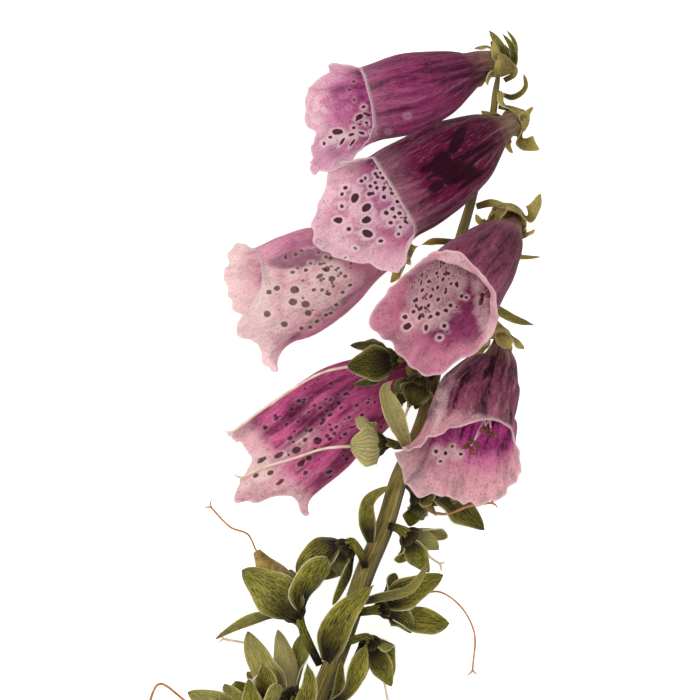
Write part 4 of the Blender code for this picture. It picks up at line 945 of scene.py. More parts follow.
def petal(name, chips, through, showing, creased, haloed, patchy, bend=4.0, shaded=0.92, rimmed=0.6,
          glow=0.0):
    """Thin downy petal. The outside goes from foot to tube to lip, darker on the upper side, the inside
    from throat to inner lip with a pale spotted ground on the belly. The creases get painted shade and the
    ridges between them a paler painted highlight, fine down runs lengthwise, and everything pales towards
    the rim, partly pale down and partly painted glow of light through the thin rim. The chips are for the
    foot, tube, dark marks and painted shade, lip, throat, inner lip, pale ground and spots; the shares say
    how much light goes through, how far the inner marks are painted on the outside as if seen through the
    lit wall, and how strong the painted crease shade, halos, patches, painted shade streaks and the pale rim
    are; glow is the strength of the inside's painted glow."""
    material, shader, place, along, around = start_material(name)
    foot, tube, dark_and_shade, lip, throat, inner, pale, core = [chip(*tint) for tint in chips]
    inside, rim, belly = [own_value(shader, label) for label in ("inside", "rim", "belly")]
    mottle = cloud(place, 150.0, 4.0, 0.6)
    blotch = cloud(place, 330.0, 3.0, 0.6)
    grain = cloud(place, 2100.0, 2.0, 0.6)
    lengthwise = {"Place": place, "Along": along, "Around": around}
    down = use(DRAWN_GRAIN, **lengthwise, Fine=25.0, Long=17.0, Bend=bend)["Grain"]
    crease = use(DRAWN_GRAIN, **lengthwise, Fine=4.5, Long=2.0, Bend=bend * 0.12)["Grain"]
    lines = use(LONG_VEINS, Place=place, Around=around, Count=90.0)["Lines"]
    ragged = swing(mottle, 9.0)
    # inner spots and pale ground are also painted on the outside: painted light, as if seen through the lit
    # wall
    shown_through_wall = at_least(inside, showing)

    # the two sides of the petal
    top = times(fade(belly, 0.62, 0.1), fade(mottle, 0.3, 0.7, 0.3, 0.8))
    top = times(top, fade(along, 0.08, 0.34))
    outer = coats(foot, (fade(along, 0.08, 0.40), tube),
                  (times(top, fade(along, 0.9, 0.2)), dark_and_shade), (fade(along, 0.82, 1.55), lip))
    inward = coats(throat, (fade(along, 0.5, 1.02), inner), (fade(along, 1.05, 1.7), lip))

    # clouds and blotches, with painted shade in the creases and paler painted ridges between them
    creases = times(fade(crease, 0.50, 0.66, 0.0, creased), fade(along, 1.6, 0.8, 0.35, 1.0))
    on_lobes = times(fade(along, 0.8, 1.2, 0.3, 1.0), at_least(inside, 0.3))
    base = coats(outer, (inside, inward), (fade(mottle, 0.52, 0.3, 0.0, 0.4), dark_and_shade),
                 (creases, dark_and_shade), (fade(crease, 0.46, 0.30, 0.0, creased * 0.35), lip),
                 (fade(blotch, 0.48, 0.28, 0.0, 0.3), dark_and_shade),
                 (times(fade(blotch, 0.52, 0.72, 0.0, 0.3), on_lobes), lip))

    # pale ground, pale rim that is partly pale down and partly painted glow of light through it, and veins
    ground = fade(plus(own_value(shader, "ground"), ragged), -1.8, 1.6, 1.0, 0.0)
    ground = times(times(ground, shown_through_wall), fade(blotch, 0.40, 0.60, 1.0 - patchy, 1.0))
    wide = plus(rim, times(ragged, 0.5))
    pale_and_lit_rim = times(fade(wide, 0.0, 8.0, rimmed, 0.0), at_least(inside, 0.15))
    veins = times(lines, maths("SUBTRACT", 1.0, times(ground, 0.8)))

    # down that is drawn out on the tube and grainy on the lobes
    drawn = fade(along, 1.5, 0.9, 0.3, 1.0)
    base = coats(base, (times(ground, 0.9), pale), (pale_and_lit_rim, pale),
                 (times(veins, 0.16), dark_and_shade),
                 (times(fade(down, 0.54, 0.72, 0.0, 0.2), drawn), lip),
                 (times(fade(down, 0.46, 0.28, 0.0, 0.5), drawn), dark_and_shade),
                 (times(fade(grain, 0.52, 0.75, 0.0, 0.36), on_lobes), lip),
                 (fade(grain, 0.48, 0.25, 0.0, 0.55), dark_and_shade))

    # painted shade (stamen shadows seen through the wall and shaded bands), freckles and spots with
    # their halos, and the thin pale edge, partly pale down and partly painted glow
    shade_gap = plus(own_value(shader, "shade"), times(ragged, 0.2))
    marks = use(SPOT_MARKS, Place=place, Gap=own_value(shader, "spots"))
    soft = use(SPOT_MARKS, Place=place, Gap=own_value(shader, "freckles"))
    thin = plus(rim, swing(grain, 0.9))
    base = coats(base, (fade(shade_gap, -0.4, 0.6, shaded, 0.0), SHADE_TINT),
                 (times(marks["Halo"], times(shown_through_wall, haloed)), pale),
                 (times(soft["Halo"], times(shown_through_wall, haloed * 0.3)), pale),
                 (times(soft["Core"], times(shown_through_wall, 0.9)), core),
                 (times(marks["Core"], times(shown_through_wall, 0.96)), core),
                 (fade(thin, 0.1, 0.8, 0.55, 0.0), PALE_AND_LIT_EDGE))
    # the inside gives off light in its own colour, most inside the tube: painted glow standing in for light
    # through the walls
    lit = times(inside, fade(along, 1.7, 0.8, 0.25, 1.0))
    height = plus(times(use(FELT, Place=place)["Height"], 0.4), times(down, 0.9))
    height = maths("SUBTRACT", height, times(crease, 1.6))
    feed(shader, {"Base Color": base, "Roughness": 0.75, "Specular IOR Level": 0.1, "Sheen Weight": 0.22,
                  "Sheen Roughness": 0.3, "Sheen Tint": (1.0, 0.88, 0.92, 1.0),
                  "Emission Color": coats(BLACK, (lit, base)), "Emission Strength": glow,
                  "Normal": bump(height, 0.0003)})
    see_through(shader, base, through)
    return material


def leaf(name, chips, count=9.0, through=0.28):
    """Green leaf with yellow lengthwise veins and a net between them, a pale edge and painted shade that
    darkens the foot; its own tone goes from -1, dark, to 1, pale. The chips are for the blade, veins, edge
    and the dark tint of the mottle, the dark tone and the painted shade at the foot."""
    material, shader, place, along, across = start_material(name)
    blade, vein, edge_tint, foot = [chip(*tint) for tint in chips]
    mottle = cloud(place, 260.0, 4.0, 0.6)
    grain = cloud(place, 2000.0, 2.0, 0.6)
    veins = use(LEAF_VEINS, Place=place, Along=along, Across=across, Count=count)
    tone, edge = own_value(shader, "tone"), own_value(shader, "edge")
    reach = plus(along, times(mottle, 0.35))
    # foot_shade is painted shade: darker towards the foot, more so on darker leaves
    foot_shade = times(fade(reach, 0.28, 0.9, 1.0, 0.0), fade(tone, 0.0, 0.8, 1.0, 0.3))
    colour = coats(blade, (fade(mottle, 0.6, 0.3, 0.0, 0.7), foot),
                   (fade(tone, 0.0, 1.0, 0.0, 0.7), PALE_LEAF),
                   (fade(grain, 0.50, 0.28, 0.0, 0.5), foot),
                   (times(veins["Lines"], 0.8), vein),
                   (fade(tone, 0.0, -1.0, 0.0, 0.72), foot),
                   (foot_shade, foot),
                   (fade(edge, 0.6, 0.95, 0.0, 0.25), vein),
                   (fade(edge, 0.93, 0.99, 0.0, 0.9), edge_tint),
                   (fade(along, 0.95, 1.0, 0.0, 0.5), DRIED_TIP))
    height = plus(times(use(FELT, Place=place)["Height"], 0.5), veins["Main"])
    feed(shader, {"Base Color": colour, "Roughness": 0.65, "Specular IOR Level": 0.15, "Sheen Weight": 0.2,
                  "Sheen Roughness": 0.3, "Sheen Tint": (1.0, 0.97, 0.82, 1.0),
                  "Normal": bump(height, 0.0003)})
    see_through(shader, colour, through)
    return material


def bark(name, chips):
    """Stem skin with lengthwise streaks and painted shade along a groove and its side, in chips of olive,
    dark and pale.
    """
    material, shader, place, along, around = start_material(name)
    olive, dark, pale = [chip(*tint) for tint in chips]
    lengthwise = {"Place": place, "Along": along, "Around": around}
    drawn = use(DRAWN_GRAIN, **lengthwise, Fine=4.0, Long=9.0, Bend=0.5)["Grain"]
    thin = use(DRAWN_GRAIN, **lengthwise, Fine=14.0, Long=40.0, Bend=1.0)["Grain"]
    colour = coats(olive, (fade(drawn, 0.5, 0.72, 0.0, 0.75), pale),
                   (fade(drawn, 0.48, 0.3, 0.0, 0.75), dark),
                   (fade(thin, 0.5, 0.7, 0.0, 0.6), pale),
                   (fade(thin, 0.48, 0.3, 0.0, 0.5), dark),
                   (times(own_value(shader, "groove"), 0.9), dark))
    height = plus(times(use(FELT, Place=place)["Height"], 0.4), thin)
    feed(shader, {"Base Color": colour, "Roughness": 0.6, "Specular IOR Level": 0.2, "Sheen Weight": 0.25,
                  "Sheen Tint": (1.0, 0.95, 0.75, 1.0), "Normal": bump(height, 0.0002)})
    return material


def plain_skin(name, low, high, through=0.0, scale=400.0):
    """Two tints in soft clouds, with down; thin ones let light through."""
    material, shader, place, _, _ = start_material(name)
    colour = coats(chip(*low), (fade(cloud(place, scale, 4.0, 0.6), 0.3, 0.7), chip(*high)))
    feed(shader, {"Base Color": colour, "Roughness": 0.6, "Specular IOR Level": 0.3,
                  "Normal": bump(use(FELT, Place=place)["Height"], 0.00015)})
    if through:
        see_through(shader, colour, through)
    return material


# ---------------------------------------------------------------- bells

def spot_gap(points, spots):
    """Distance in millimetres from each point, seen from above, to the edge of the nearest spot: spots are
    ovals (x, y, half length, half width, turn in degrees), and the distance is negative inside one."""
    x, y, long, wide, turn = np.asarray(spots, float).T
    turn = np.radians(turn)
    dx = points[..., 0, None] - x
    dy = points[..., 1, None] - y
    along = dx * np.cos(turn) + dy * np.sin(turn)
    across = dy * np.cos(turn) - dx * np.sin(turn)
    return ((np.hypot(along / long, across / wide) - 1) * np.sqrt(long * wide)).min(-1)


def freckle_gap(grid, angle, along, rules, seed):
    """The same for small seeded freckles on the belly of the bell, placed by length share and angle."""
    count, low, high, spread, size = rules
    random = np.random.default_rng(seed)
    lengthwise = random.uniform(low, high, count)
    turn = np.radians(270 + random.normal(0, spread, count))
    sizes = size * random.uniform(0.55, 1.35, count)
    rows = np.abs(along[:, None] - lengthwise).argmin(0)
    columns = np.abs(np.angle(np.exp(1j * (angle[:, None] - turn)))).argmin(0)
    gap = np.full(grid.shape[:2], FAR)
    for centre, radius in zip(grid[rows, columns], sizes):
        gap = np.minimum(gap, np.linalg.norm(grid - centre, axis=-1) - radius)
    return gap


def bell_grid(spec, number):
    """Outer skin of a bell as a grid, with angles, length share, distance to the rim and belly share.

    The tube is a flattened ring carried along the axis, with pleats, dents and a fuller belly. The lip
    leaves the throat straight ahead and turns outwards along an arc: with length l and turn a, the point
    at share q is l sin(aq)/a further on and l (1 - cos(aq))/a further out, plus a frill that grows as q^2
    and a rolled rim that grows as q^6."""
    line = curve_through(spec["stations"], TUBE_ROWS)
    centres, width = line[:, :3], line[:, 3:4]
    forward, side, up = frames(centres, spec["upper_way"])
    angle = round_angles(BELL_COLUMNS)
    share = shares(TUBE_ROWS)
    belly = 0.5 - 0.5 * np.sin(angle)

    height = width * (1 + (spec.get("flatness", FLATNESS) - 1) * np.minimum(1.0, width / FLAT_FROM))
    grown = smooth_step(share, 0.12, 0.55)
    pleats = waves(angle, (3, 5, 8, 13), number) * PLEAT * grown
    dents = (np.sin(share * 9.0 + 2 * angle + number) * np.sin(share * 5.0 - 3 * angle) * DENT
             + np.sin(share * 23.0 + 4 * angle + 2 * number) * SMALL_DENT) * grown
    creases = waves(angle + 0.05 * np.sin(share * 8), (31, 43), number + 20) * CREASE * grown
    swell = 1 + pleats + dents + creases
    fuller = 1 + FULLER * belly**2 * np.sin(math.pi * share)**1.5
    tube = sections(centres, side, up, width * swell * np.cos(angle),
                    height * swell * fuller * np.sin(angle))

    outward = side[-1] * np.cos(angle)[:, None] + up[-1] * np.sin(angle)[:, None]
    length, turn = round_the_lip(spec["lip"], np.degrees(angle))
    length = length * (1 + spec.get("frill", LIP_FRILL) * waves(angle, (11, 17, 23), number + 5))
    share_out = (np.arange(1, LIP_ROWS + 1) / LIP_ROWS)[:, None]
    bend = np.radians(turn)
    ahead = length * np.sin(bend * share_out) / bend
    out = length * (1 - np.cos(bend * share_out)) / bend
    reach = np.minimum(length, LONGEST_WAVE)
    frill = share_out**2 * reach * 0.05 * waves(angle, (6, 9, 14), number + 9)
    frill += share_out**4 * reach * 0.035 * waves(angle, (22, 31), number + 11)
    roll = share_out**6 * reach * RIM_ROLL
    away = outward * np.cos(bend * share_out)[..., None] - forward[-1] * np.sin(bend * share_out)[..., None]
    lip = (tube[-1] + forward[-1] * ahead[..., None] + outward * out[..., None]
           + away * (frill + roll)[..., None])

    grid = np.vstack([tube, lip])
    along = np.concatenate([share[:, 0], 1 + share_out[:, 0]])
    steps = np.linalg.norm(np.diff(grid, axis=0), axis=-1)
    gone = np.vstack([np.zeros(BELL_COLUMNS), np.cumsum(steps, axis=0)])
    return grid, angle, along, gone[-1] - gone, np.broadcast_to(belly, grid.shape[:2]), line


def both_skins(outer, inner=None):
    """The outer skin's rows, then the inner skin's backwards, down to the third row."""
    return np.vstack([outer, (outer if inner is None else inner)[:1:-1]])


def inner_skin(grid, rim):
    """The skin that lies a wall behind the outer one, thinner towards the rim and the foot."""
    normals = grid_normals(grid)
    outward = grid - grid.mean(axis=1, keepdims=True)
    if np.einsum("ijk,ijk->", normals[:TUBE_ROWS], outward[:TUBE_ROWS]) < 0:
        normals = -normals
    wall = RIM_WALL + (PETAL_WALL - RIM_WALL) * smooth_step(rim, 0.0, 4.0)
    room = np.linalg.norm(outward, axis=-1) * 0.4
    return grid - normals * np.minimum(wall, room)[..., None]


def bell(number, materials):
    """A bell as one closed sheet of two skins, with down on its rim and long hairs in its throat."""
    spec = BELLS[number]
    grid, angle, along, rim, belly, line = bell_grid(spec, number)
    inner = inner_skin(grid, rim)

    def gap_to(marks, shown, beyond=FAR):
        """Gap to the marks of that name where they are shown, and beyond elsewhere."""
        gap = spot_gap(grid, spec[marks]) if marks in spec else FAR
        return both_skins(np.clip(np.where(shown, gap, beyond), -FAR, FAR))

    parts = [grid_part(
        both_skins(grid, inner), line[0, :3], line[2, :3],
        (both_skins(along[:, None] * np.ones(BELL_COLUMNS)),
         both_skins(np.ones(len(along))[:, None] * (angle / TURN))),
        inside=both_skins(np.zeros(rim.shape), np.ones(rim.shape)),
        rim=both_skins(rim), belly=both_skins(belly),
        spots=gap_to("spots", belly > spec.get("spot_belly", 0.35), 4.0),
        freckles=both_skins(freckle_gap(grid, angle, along, spec["freckles"], 40 + number)),
        ground=gap_to("ground", belly > spec.get("ground_belly", 0.2)),
        shade=gap_to("shade", belly < spec.get("shade_belly", 0.6)))]
    parts.append(hairs_on(grid, RIM_HAIRS, 0.55, 60 + number, dip(rim, 0.0, 1.2) + 0.06))
    throat = inner[THROAT_ROW:, ::-1]
    parts.append(hairs_on(throat, THROAT_HAIRS, 1.3, 80 + number, belly[THROAT_ROW:, ::-1] ** 6))
    make_piece(f"bell_{number}", parts, materials, f"corolla_{number}")


# ---------------------------------------------------------------- leaves, sepals and cups

def leaf_with_fringe(middle, across, face, width, y, rise, tone, hair_count, random, seed):
    """Leaf sections at y from -1 to 1 across, as high as rise, with a wall behind them that is thinnest at
    the edges, and a fringe of short hairs on both edges."""
    skin = sections(middle, across, face, width * y, rise)
    thick = LEAF_WALL * (0.35 + 0.65 * (1 - np.abs(y) ** 3)) * np.minimum(1.0, 0.3 + width / 1.2)
    grid = np.concatenate([skin, (skin - face[:, None] * thick[..., None])[:, ::-1]], axis=1)
    both = np.concatenate([y, y[::-1]])
    size = grid.shape[:2]
    uv = (np.broadcast_to(shares(size[0]), size), np.broadcast_to(both * 0.5 + 0.5, size))
    part = grid_part(grid, grid[0].mean(0), grid[-1].mean(0), uv, 0.0,
                     edge=np.broadcast_to(np.abs(both), size),
                     tone=np.full(size, tone + random.uniform(-0.3, 0.3)))
    fringe = np.concatenate([skin[2:-1, 0], skin[2:-1, -1]])
    out = np.concatenate([-across[2:-1], across[2:-1]])
    picks = random.integers(0, len(fringe), hair_count)
    roots = fringe[picks] + random.normal(0, 0.1, (hair_count, 3))
    hairs = hair_part(roots, out[picks], random.uniform(*FRINGE, hair_count), FRINGE_WIDTH, seed + 3)
    return [part, hairs]


def sepal(root, bend, tip, half_width, across_way, faced, seed, tone):
    """A leaf on the quadratic curve root, bend, tip, in a broad egg shape that draws in to a short point.
    Its section is a shallow trough with a fold at the midrib: it stands hollow w (1 - y^2) above its edges,
    less the fold, with fine ribs, and the edges wave with the seed."""
    random = np.random.default_rng(seed)
    share = shares(LEAF_ROWS)
    middle = root * (1 - share)**2 + bend * 2 * share * (1 - share) + tip * share**2
    way = unit(np.gradient(middle, axis=0))
    faced = faced[0] * (1 - share) + faced[1] * share
    across = np.cross(way, faced)
    if np.dot(across[0], across_way) < 0:
        across = -across
    same = np.sign(np.einsum("ij,ij->i", across[1:], across[:-1]))
    across[1:] *= np.cumprod(np.where(same == 0, 1, same))[:, None]
    across = unit(across)
    face = unit(np.cross(across, way))
    if np.dot(face[0], faced[0]) < 0:
        face = -face

    y = np.linspace(-1.0, 1.0, LEAF_COLUMNS)
    outline = (share + 0.06)**0.5 * (1 - share)**0.62 * (1 - 0.25 * share) + 0.06 * share**3 * (1 - share)
    outline = np.clip(outline / 0.437, 0.02, None)
    width = half_width * outline * (1 + 0.05 * np.sin(share * 11 + random.uniform(0, 6)))
    starts = random.uniform(0, 6, 2)[(y > 0).astype(int)]
    edge = 0.10 * half_width * np.sin(share * 9 + starts) * np.abs(y)**3
    hollow = LEAF_HOLLOW * width
    fold = FOLD * width * dip(y, 0.0, 0.10)
    ribs = 0.035 * half_width * np.cos(y * RIBS * math.pi) * smooth_step(share, 0.02, 0.2)
    rise = hollow * (1 - y**2) - fold + edge * smooth_step(share, 0.1, 0.4)
    rise = rise + ribs * (1 - np.abs(y))**0.5 - hollow
    hair_count = int(26 + 14 * half_width)
    return leaf_with_fringe(middle, across, face, width, y, rise, tone, hair_count, random, seed)


def long_leaf(spec, seed):
    """A leaf section carried along a curve through the stations (x, y, z, half width): a trough
    0.45 w |y|^1.6 deep with a fold at the midrib, fine ribs and waving edges."""
    random = np.random.default_rng(seed)
    line = curve_through(spec["stations"], LONG_LEAF_ROWS)
    _, across, face = frames(line[:, :3], spec["way"])
    share = shares(LONG_LEAF_ROWS)
    y = np.linspace(-1.0, 1.0, LEAF_COLUMNS)
    width = np.maximum(line[:, 3:4], 0.05) * np.minimum(1.0, (1 - share) * 9 + 0.1)
    ribs = 0.05 * width * np.cos(y * RIBS * math.pi)
    edge = 0.12 * width * np.sin(share * 8 + 3 * y) * np.abs(y)
    rise = 0.45 * width * np.abs(y)**1.6 - FOLD * width * dip(y, 0.0, 0.12) + ribs + edge
    return leaf_with_fringe(line[:, :3], across, face, width, y, rise, spec.get("tone", 0.0),
                            LONG_LEAF_HAIRS, random, seed)


def lobe_order(tips, centre, side, up):
    """Start angle, and for each sector round the cup its stated tip or None: a stated tip goes to the
    sector nearest its own angle, or to the next one that is free."""
    sector = TURN / SEPALS
    ways = [np.subtract(tip[:3], centre) for tip in tips]
    angles = [math.atan2(np.dot(way, up), np.dot(way, side)) for way in ways]
    phases = np.array([angle % sector for angle in angles]) / sector * TURN
    start = math.atan2(np.sin(phases).sum(), np.cos(phases).sum()) / TURN * sector if tips else 0.0
    order = [None] * SEPALS
    for tip, angle in zip(tips, angles):
        index = round((angle - start) / sector) % SEPALS
        while order[index] is not None:
            index = (index + 1) % SEPALS
        order[index] = tip
    return start, order


def calyx_parts(spec, seed):
    """Stalk, cup and sepals. Each sepal leaves the rim along the cup's wall and bends to its tip, stated or
    of the usual length and lean."""
    stalk = np.asarray(spec["stalk"], float)
    foot = stalk[-1, :3]
    heading = unit(np.subtract(spec["aim"], foot))
    cup_radius, cup_depth = spec["cup"]
    centre = foot + heading * cup_depth
    cup = [(*(foot + heading * cup_depth * share), cup_radius * radius)
           for share, radius in ((0.2, 0.55), (0.5, 0.84), (0.8, 0.97), (1.0, 1.0))]
    ahead = foot + heading * cup_depth * np.array([[0.35], [1.0]])
    _, side, up = [axis[-1] for axis in carried_frames(np.vstack([stalk[:, :3], ahead]))]
    parts = [rod_part(np.vstack([stalk, cup[:1]]), 34, 20, 0,
                      lambda along, angle: 1 + 0.06 * np.sin(5 * angle + along * 4),
                      edge=0.2, tone=spec["stalk_tone"])]

    rings = curve_through(np.vstack([stalk[-1:], cup]), 16)
    angle = round_angles(CUP_COLUMNS)
    round_way = side * np.cos(angle)[:, None] + up * np.sin(angle)[:, None]
    outer = rings[:, None, :3] + round_way * rings[:, None, 3:4]
    inner = rings[3:, None, :3] + round_way * np.maximum(rings[3:, None, 3:4] - CUP_WALL, 0.2)
    wall = np.vstack([outer, inner[::-1]])
    parts.append(grid_part(wall, rings[0, :3], rings[3, :3], edge=np.full(wall.shape[:2], 0.2),
                           tone=np.full(wall.shape[:2], spec["cup_tone"])))

    start, order = lobe_order(spec["tips"], centre, side, up)
    lean = math.radians(spec["lean"])
    for index, stated in enumerate(order):
        turn = start + index * TURN / SEPALS
        out = side * math.cos(turn) + up * math.sin(turn)
        root = centre + out * cup_radius * 0.92 - heading * 0.5
        if stated is None:
            tip = centre + (heading * math.cos(lean) + out * math.sin(lean)) * spec["length"]
            tip[2] = max(tip[2], LOWEST_TIP)
        else:
            tip = np.array(stated[:3], float)
        half_width = stated[3] if stated and len(stated) > 3 else spec["half_width"]
        bend = root + (heading * 0.75 + out * spec["bulge"]) * np.linalg.norm(tip - root) * 0.45
        flat_way = np.array((0.0, 0.0, 1.0 if out[2] > -0.1 else -1.0))
        faced = (out, out * (1 - spec["laid"]) + flat_way * spec["laid"])
        parts += sepal(root, bend, tip, half_width, up * math.cos(turn) - side * math.sin(turn), faced,
                       seed * 10 + index, spec["tone"])
    return parts


# ---------------------------------------------------------------- capsules, styles and stamens

def fruit_body(number, materials):
    """Ribbed egg-shaped seed capsule, its long style and the two arms of the stigma."""
    spec = FRUITS[number]
    foot = np.array(spec["stalk"][-1][:3])
    style = np.array(spec["style"], float)
    heading = unit(np.subtract(spec["aim"], foot))
    start = foot + heading * 1.4
    half_width = spec.get("capsule_half_width", CAPSULE_HALF_WIDTH)
    length = spec.get("capsule_length", CAPSULE_LENGTH)
    egg = ((0.0, 0.5), (0.18, 0.9), (0.4, 1.0), (0.65, 0.8), (0.85, 0.42), (1.0, 0.2))
    body = [(*(start + heading * length * share), half_width * radius) for share, radius in egg]
    parts = [rod_part(body, 40, 28, 0, lambda along, angle: 1 + 0.07 * np.abs(np.cos(angle))**6
                      - 0.05 * np.abs(np.sin(angle))**8)]
    thin = spec.get("style_radius", STYLE_RADIUS)
    thread = [(*(start + heading * length * 0.9), thin * 1.3)] + [(*point, thin) for point in style]
    parts.append(rod_part(thread, 70, 10, 1, lambda along, angle: 1 + 0.05 * np.sin(along * 60 + angle)))
    end = style[-1]
    way = unit(end - style[-2])
    aside = unit(np.cross(way, (0.1, 0.2, 1.0)))
    for sign, reach in ((1.0, 1.4), (-1.0, 1.1)):
        arm = [(*end, thin), (*(end + way * reach * 0.5 + aside * sign * reach * 0.35), thin * 0.8),
               (*(end + way * reach * 0.9 + aside * sign * reach), thin * 0.35)]
        parts.append(rod_part(arm, 12, 8, 1))
    make_piece(f"capsule_{number}", parts, materials, f"seed_capsule_{number}")


def near_axis(spec):
    """Sparse axis of a bell: its line with the half width, its side and up ways, and its flatness."""
    line = curve_through(spec["stations"], AXIS_ROWS)
    _, side, up = frames(line[:, :3], spec["upper_way"])
    return line, side, up, spec.get("flatness", FLATNESS)


def stamen_set(number, materials):
    """Four filaments from the bell's foot along its upper wall, each with a two-lobed anther."""
    spec = BELLS[number]
    line, side, up, flat = near_axis(spec)
    end_side, end_up, wide = side[ANTHER_ROW], up[ANTHER_ROW], line[ANTHER_ROW, 3]
    ends = spec.get("anthers") or [
        line[ANTHER_ROW, :3] + end_side * wide * aside + end_up * wide * height * flat
        for aside, height in ((-0.42, 0.40), (-0.14, 0.56), (0.14, 0.56), (0.42, 0.40))]
    lobe = ((0.1, -0.3, 0.25), (0.7, 0.3, 0.52), (1.2, 0.8, 0.42), (1.5, 1.1, 0.2))
    parts = []
    for end, aside in zip(np.array(ends, float), (-0.5, -0.2, 0.2, 0.5)):
        first = line[FOOT_ROW, :3] + side[FOOT_ROW] * aside + up[FOOT_ROW] * 0.3
        reach = line[BEND_ROW, 3]
        mid = (line[BEND_ROW, :3] + side[BEND_ROW] * reach * aside * 0.9
               + up[BEND_ROW] * reach * 0.42 * flat)
        parts.append(rod_part([(*first, 0.32), (*mid, 0.28), (*end, 0.2)], 36, 8, 1))
        way = unit(end - mid)
        across = unit(np.cross(way, end_up))
        for sign in (-1, 1):
            stations = [(*(end + across * sign * out + way * on), radius) for out, on, radius in lobe]
            parts.append(rod_part(stations, 14, 12, 0, lambda along, angle: 1 - 0.2 * dip(angle, 1.5, 0.3)))
    make_piece(f"stamen_set_{number}", parts, materials, f"stamens_{number}")


def pistil_body(number, materials):
    """Egg-shaped ovary at the foot of a bell and its style, which ends in two short arms."""
    line, _, up, flat = near_axis(BELLS[number])
    rows = ((8, 0.3, -0.5), (9, 0.85, -0.54), (10, 0.5, -0.52), (13, 0.3, -0.44), (ANTHER_ROW, 0.3, -0.3))
    points = [(*(line[row, :3] + up[row] * line[row, 3] * (flat * height)), radius)
              for row, radius, height in rows]
    parts = [rod_part(points[:3], 20, 16, 0), rod_part(points[2:], 30, 8, 1)]
    end = np.array(points[-1][:3])
    way = unit(end - np.array(points[-2][:3]))
    for sign in (-1, 1):
        aside = up[ANTHER_ROW] * sign
        arm = [(*end, 0.28), (*(end + way * 0.6 + aside * 0.3), 0.22), (*(end + way + aside * 0.7), 0.1)]
        parts.append(rod_part(arm, 10, 8, 1))
    make_piece(f"pistil_body_{number}", parts, materials, f"pistil_{number}")


def stem_body(materials):
    """The slanting stem: round section with five soft ridges, two grooves, a cut end and felt of hairs."""
    line = curve_through(STEM, STEM_ROWS)
    centres = line[:, :3]
    _, side, up = frames(centres, (0.0, 0.0, 1.0))
    angle = round_angles(STEM_COLUMNS)
    along = shares(STEM_ROWS)
    off_groove = angle - 0.55 - 0.2 * np.sin(along * 9)
    radius = line[:, 3:4] * (1 + 0.035 * np.sin(5 * angle + along * 5) + 0.02 * np.sin(along * 70 + angle)
                             - 0.10 * dip(off_groove, 0.0, 0.16) - 0.05 * dip(angle, 2.3, 0.2))
    grid = sections(centres, side, up, radius * np.cos(angle), radius * np.sin(angle))
    # groove marks painted shade along the deeper groove and the side round it
    parts = [grid_part(grid, centres[0], centres[-1], groove=dip(off_groove, 0.0, 0.45)),
             hairs_on(grid, STEM_HAIRS, 0.62, 17, np.ones(grid.shape[:2]))]
    make_piece("stem_body", parts, materials, "stem")


def bud_body(materials):
    """Closed buds and pointed bracts gathered on the spike's tip."""
    parts = []
    for index, spec in enumerate(TIP_LEAVES):
        parts += long_leaf(spec, 500 + index)
    for stations in TIP_BUDS:
        parts.append(rod_part(stations, 26, 16, 0,
                              lambda along, angle: 1 + 0.08 * np.sin(4 * angle + along * 5),
                              edge=0.3, tone=-0.6))
    make_piece("bud_body", parts, materials, "bud_cluster")


# ---------------------------------------------------------------- the spike put together

CORE = (66, 12, 34)
PETALS = {
    1: ("top bell", ((176, 150, 96), (164, 66, 116), (74, 16, 42), (226, 150, 188), (166, 46, 120),
                     (206, 98, 166), (250, 226, 228), CORE),
        {"through": 0.4, "showing": 0.25, "creased": 0.8, "haloed": 0.9, "patchy": 0.9, "shaded": 0.5,
         "rimmed": 0.5, "glow": 0.12}),
    2: ("second bell", ((176, 146, 108), (112, 20, 66), (54, 4, 26), (234, 166, 188), (150, 40, 106),
                        (210, 112, 172), (255, 226, 234), CORE),
        {"through": 0.35, "showing": 0.08, "creased": 0.6, "haloed": 1.0, "patchy": 0.85, "glow": 0.2}),
    3: ("left bell", ((236, 168, 180), (240, 174, 198), (172, 92, 134), (248, 224, 226), (200, 116, 160),
                      (244, 208, 216), (255, 240, 230), (92, 28, 54)),
        {"through": 0.5, "showing": 0.85, "creased": 0.5, "haloed": 0.6, "patchy": 0.5, "shaded": 0.45}),
    4: ("facing bell", ((190, 158, 128), (156, 84, 112), (60, 18, 38), (220, 144, 170), (150, 40, 104),
                        (176, 84, 132), (255, 226, 226), CORE),
        {"through": 0.55, "showing": 0.2, "creased": 0.7, "haloed": 0.95, "patchy": 0.3, "rimmed": 0.15,
         "glow": 0.36}),
    5: ("low left bell", ((196, 72, 132), (232, 100, 166), (108, 20, 68), (250, 206, 212), (170, 60, 118),
                          (230, 140, 180), (255, 232, 228), (66, 10, 32)),
        {"through": 0.45, "showing": 0.9, "creased": 0.8, "haloed": 0.15, "patchy": 0.6, "shaded": 0.5,
         "rimmed": 0.4}),
    6: ("low right bell", ((196, 156, 136), (154, 80, 108), (56, 12, 34), (236, 178, 190), (196, 40, 156),
                           (222, 84, 182), (255, 232, 226), CORE),
        {"through": 0.45, "showing": 0.7, "creased": 1.0, "haloed": 0.7, "patchy": 0.6, "bend": 12.0,
         "rimmed": 0.3, "glow": 0.06}),
}
petals = {number: petal(f"petal of the {which}", chips, **looks)
          for number, (which, chips, looks) in PETALS.items()}
sepal_leaf = leaf("sepal leaf", ((106, 104, 20), (226, 214, 96), (252, 242, 206), (30, 18, 4)))
cup_leaf = leaf("calyx leaf by the bells",
                ((196, 178, 90), (246, 230, 144), (252, 240, 204), (112, 92, 40)), through=0.45)
bract_skin = leaf("bract leaf", ((112, 106, 26), (226, 212, 100), (250, 240, 200), (38, 26, 6)), 7.0)
stem_skin = bark("stem skin", ((118, 102, 44), (44, 26, 8), (176, 160, 92)))
petal_hair = plain_skin("petal down", (240, 224, 226), (252, 244, 242), 0.4)
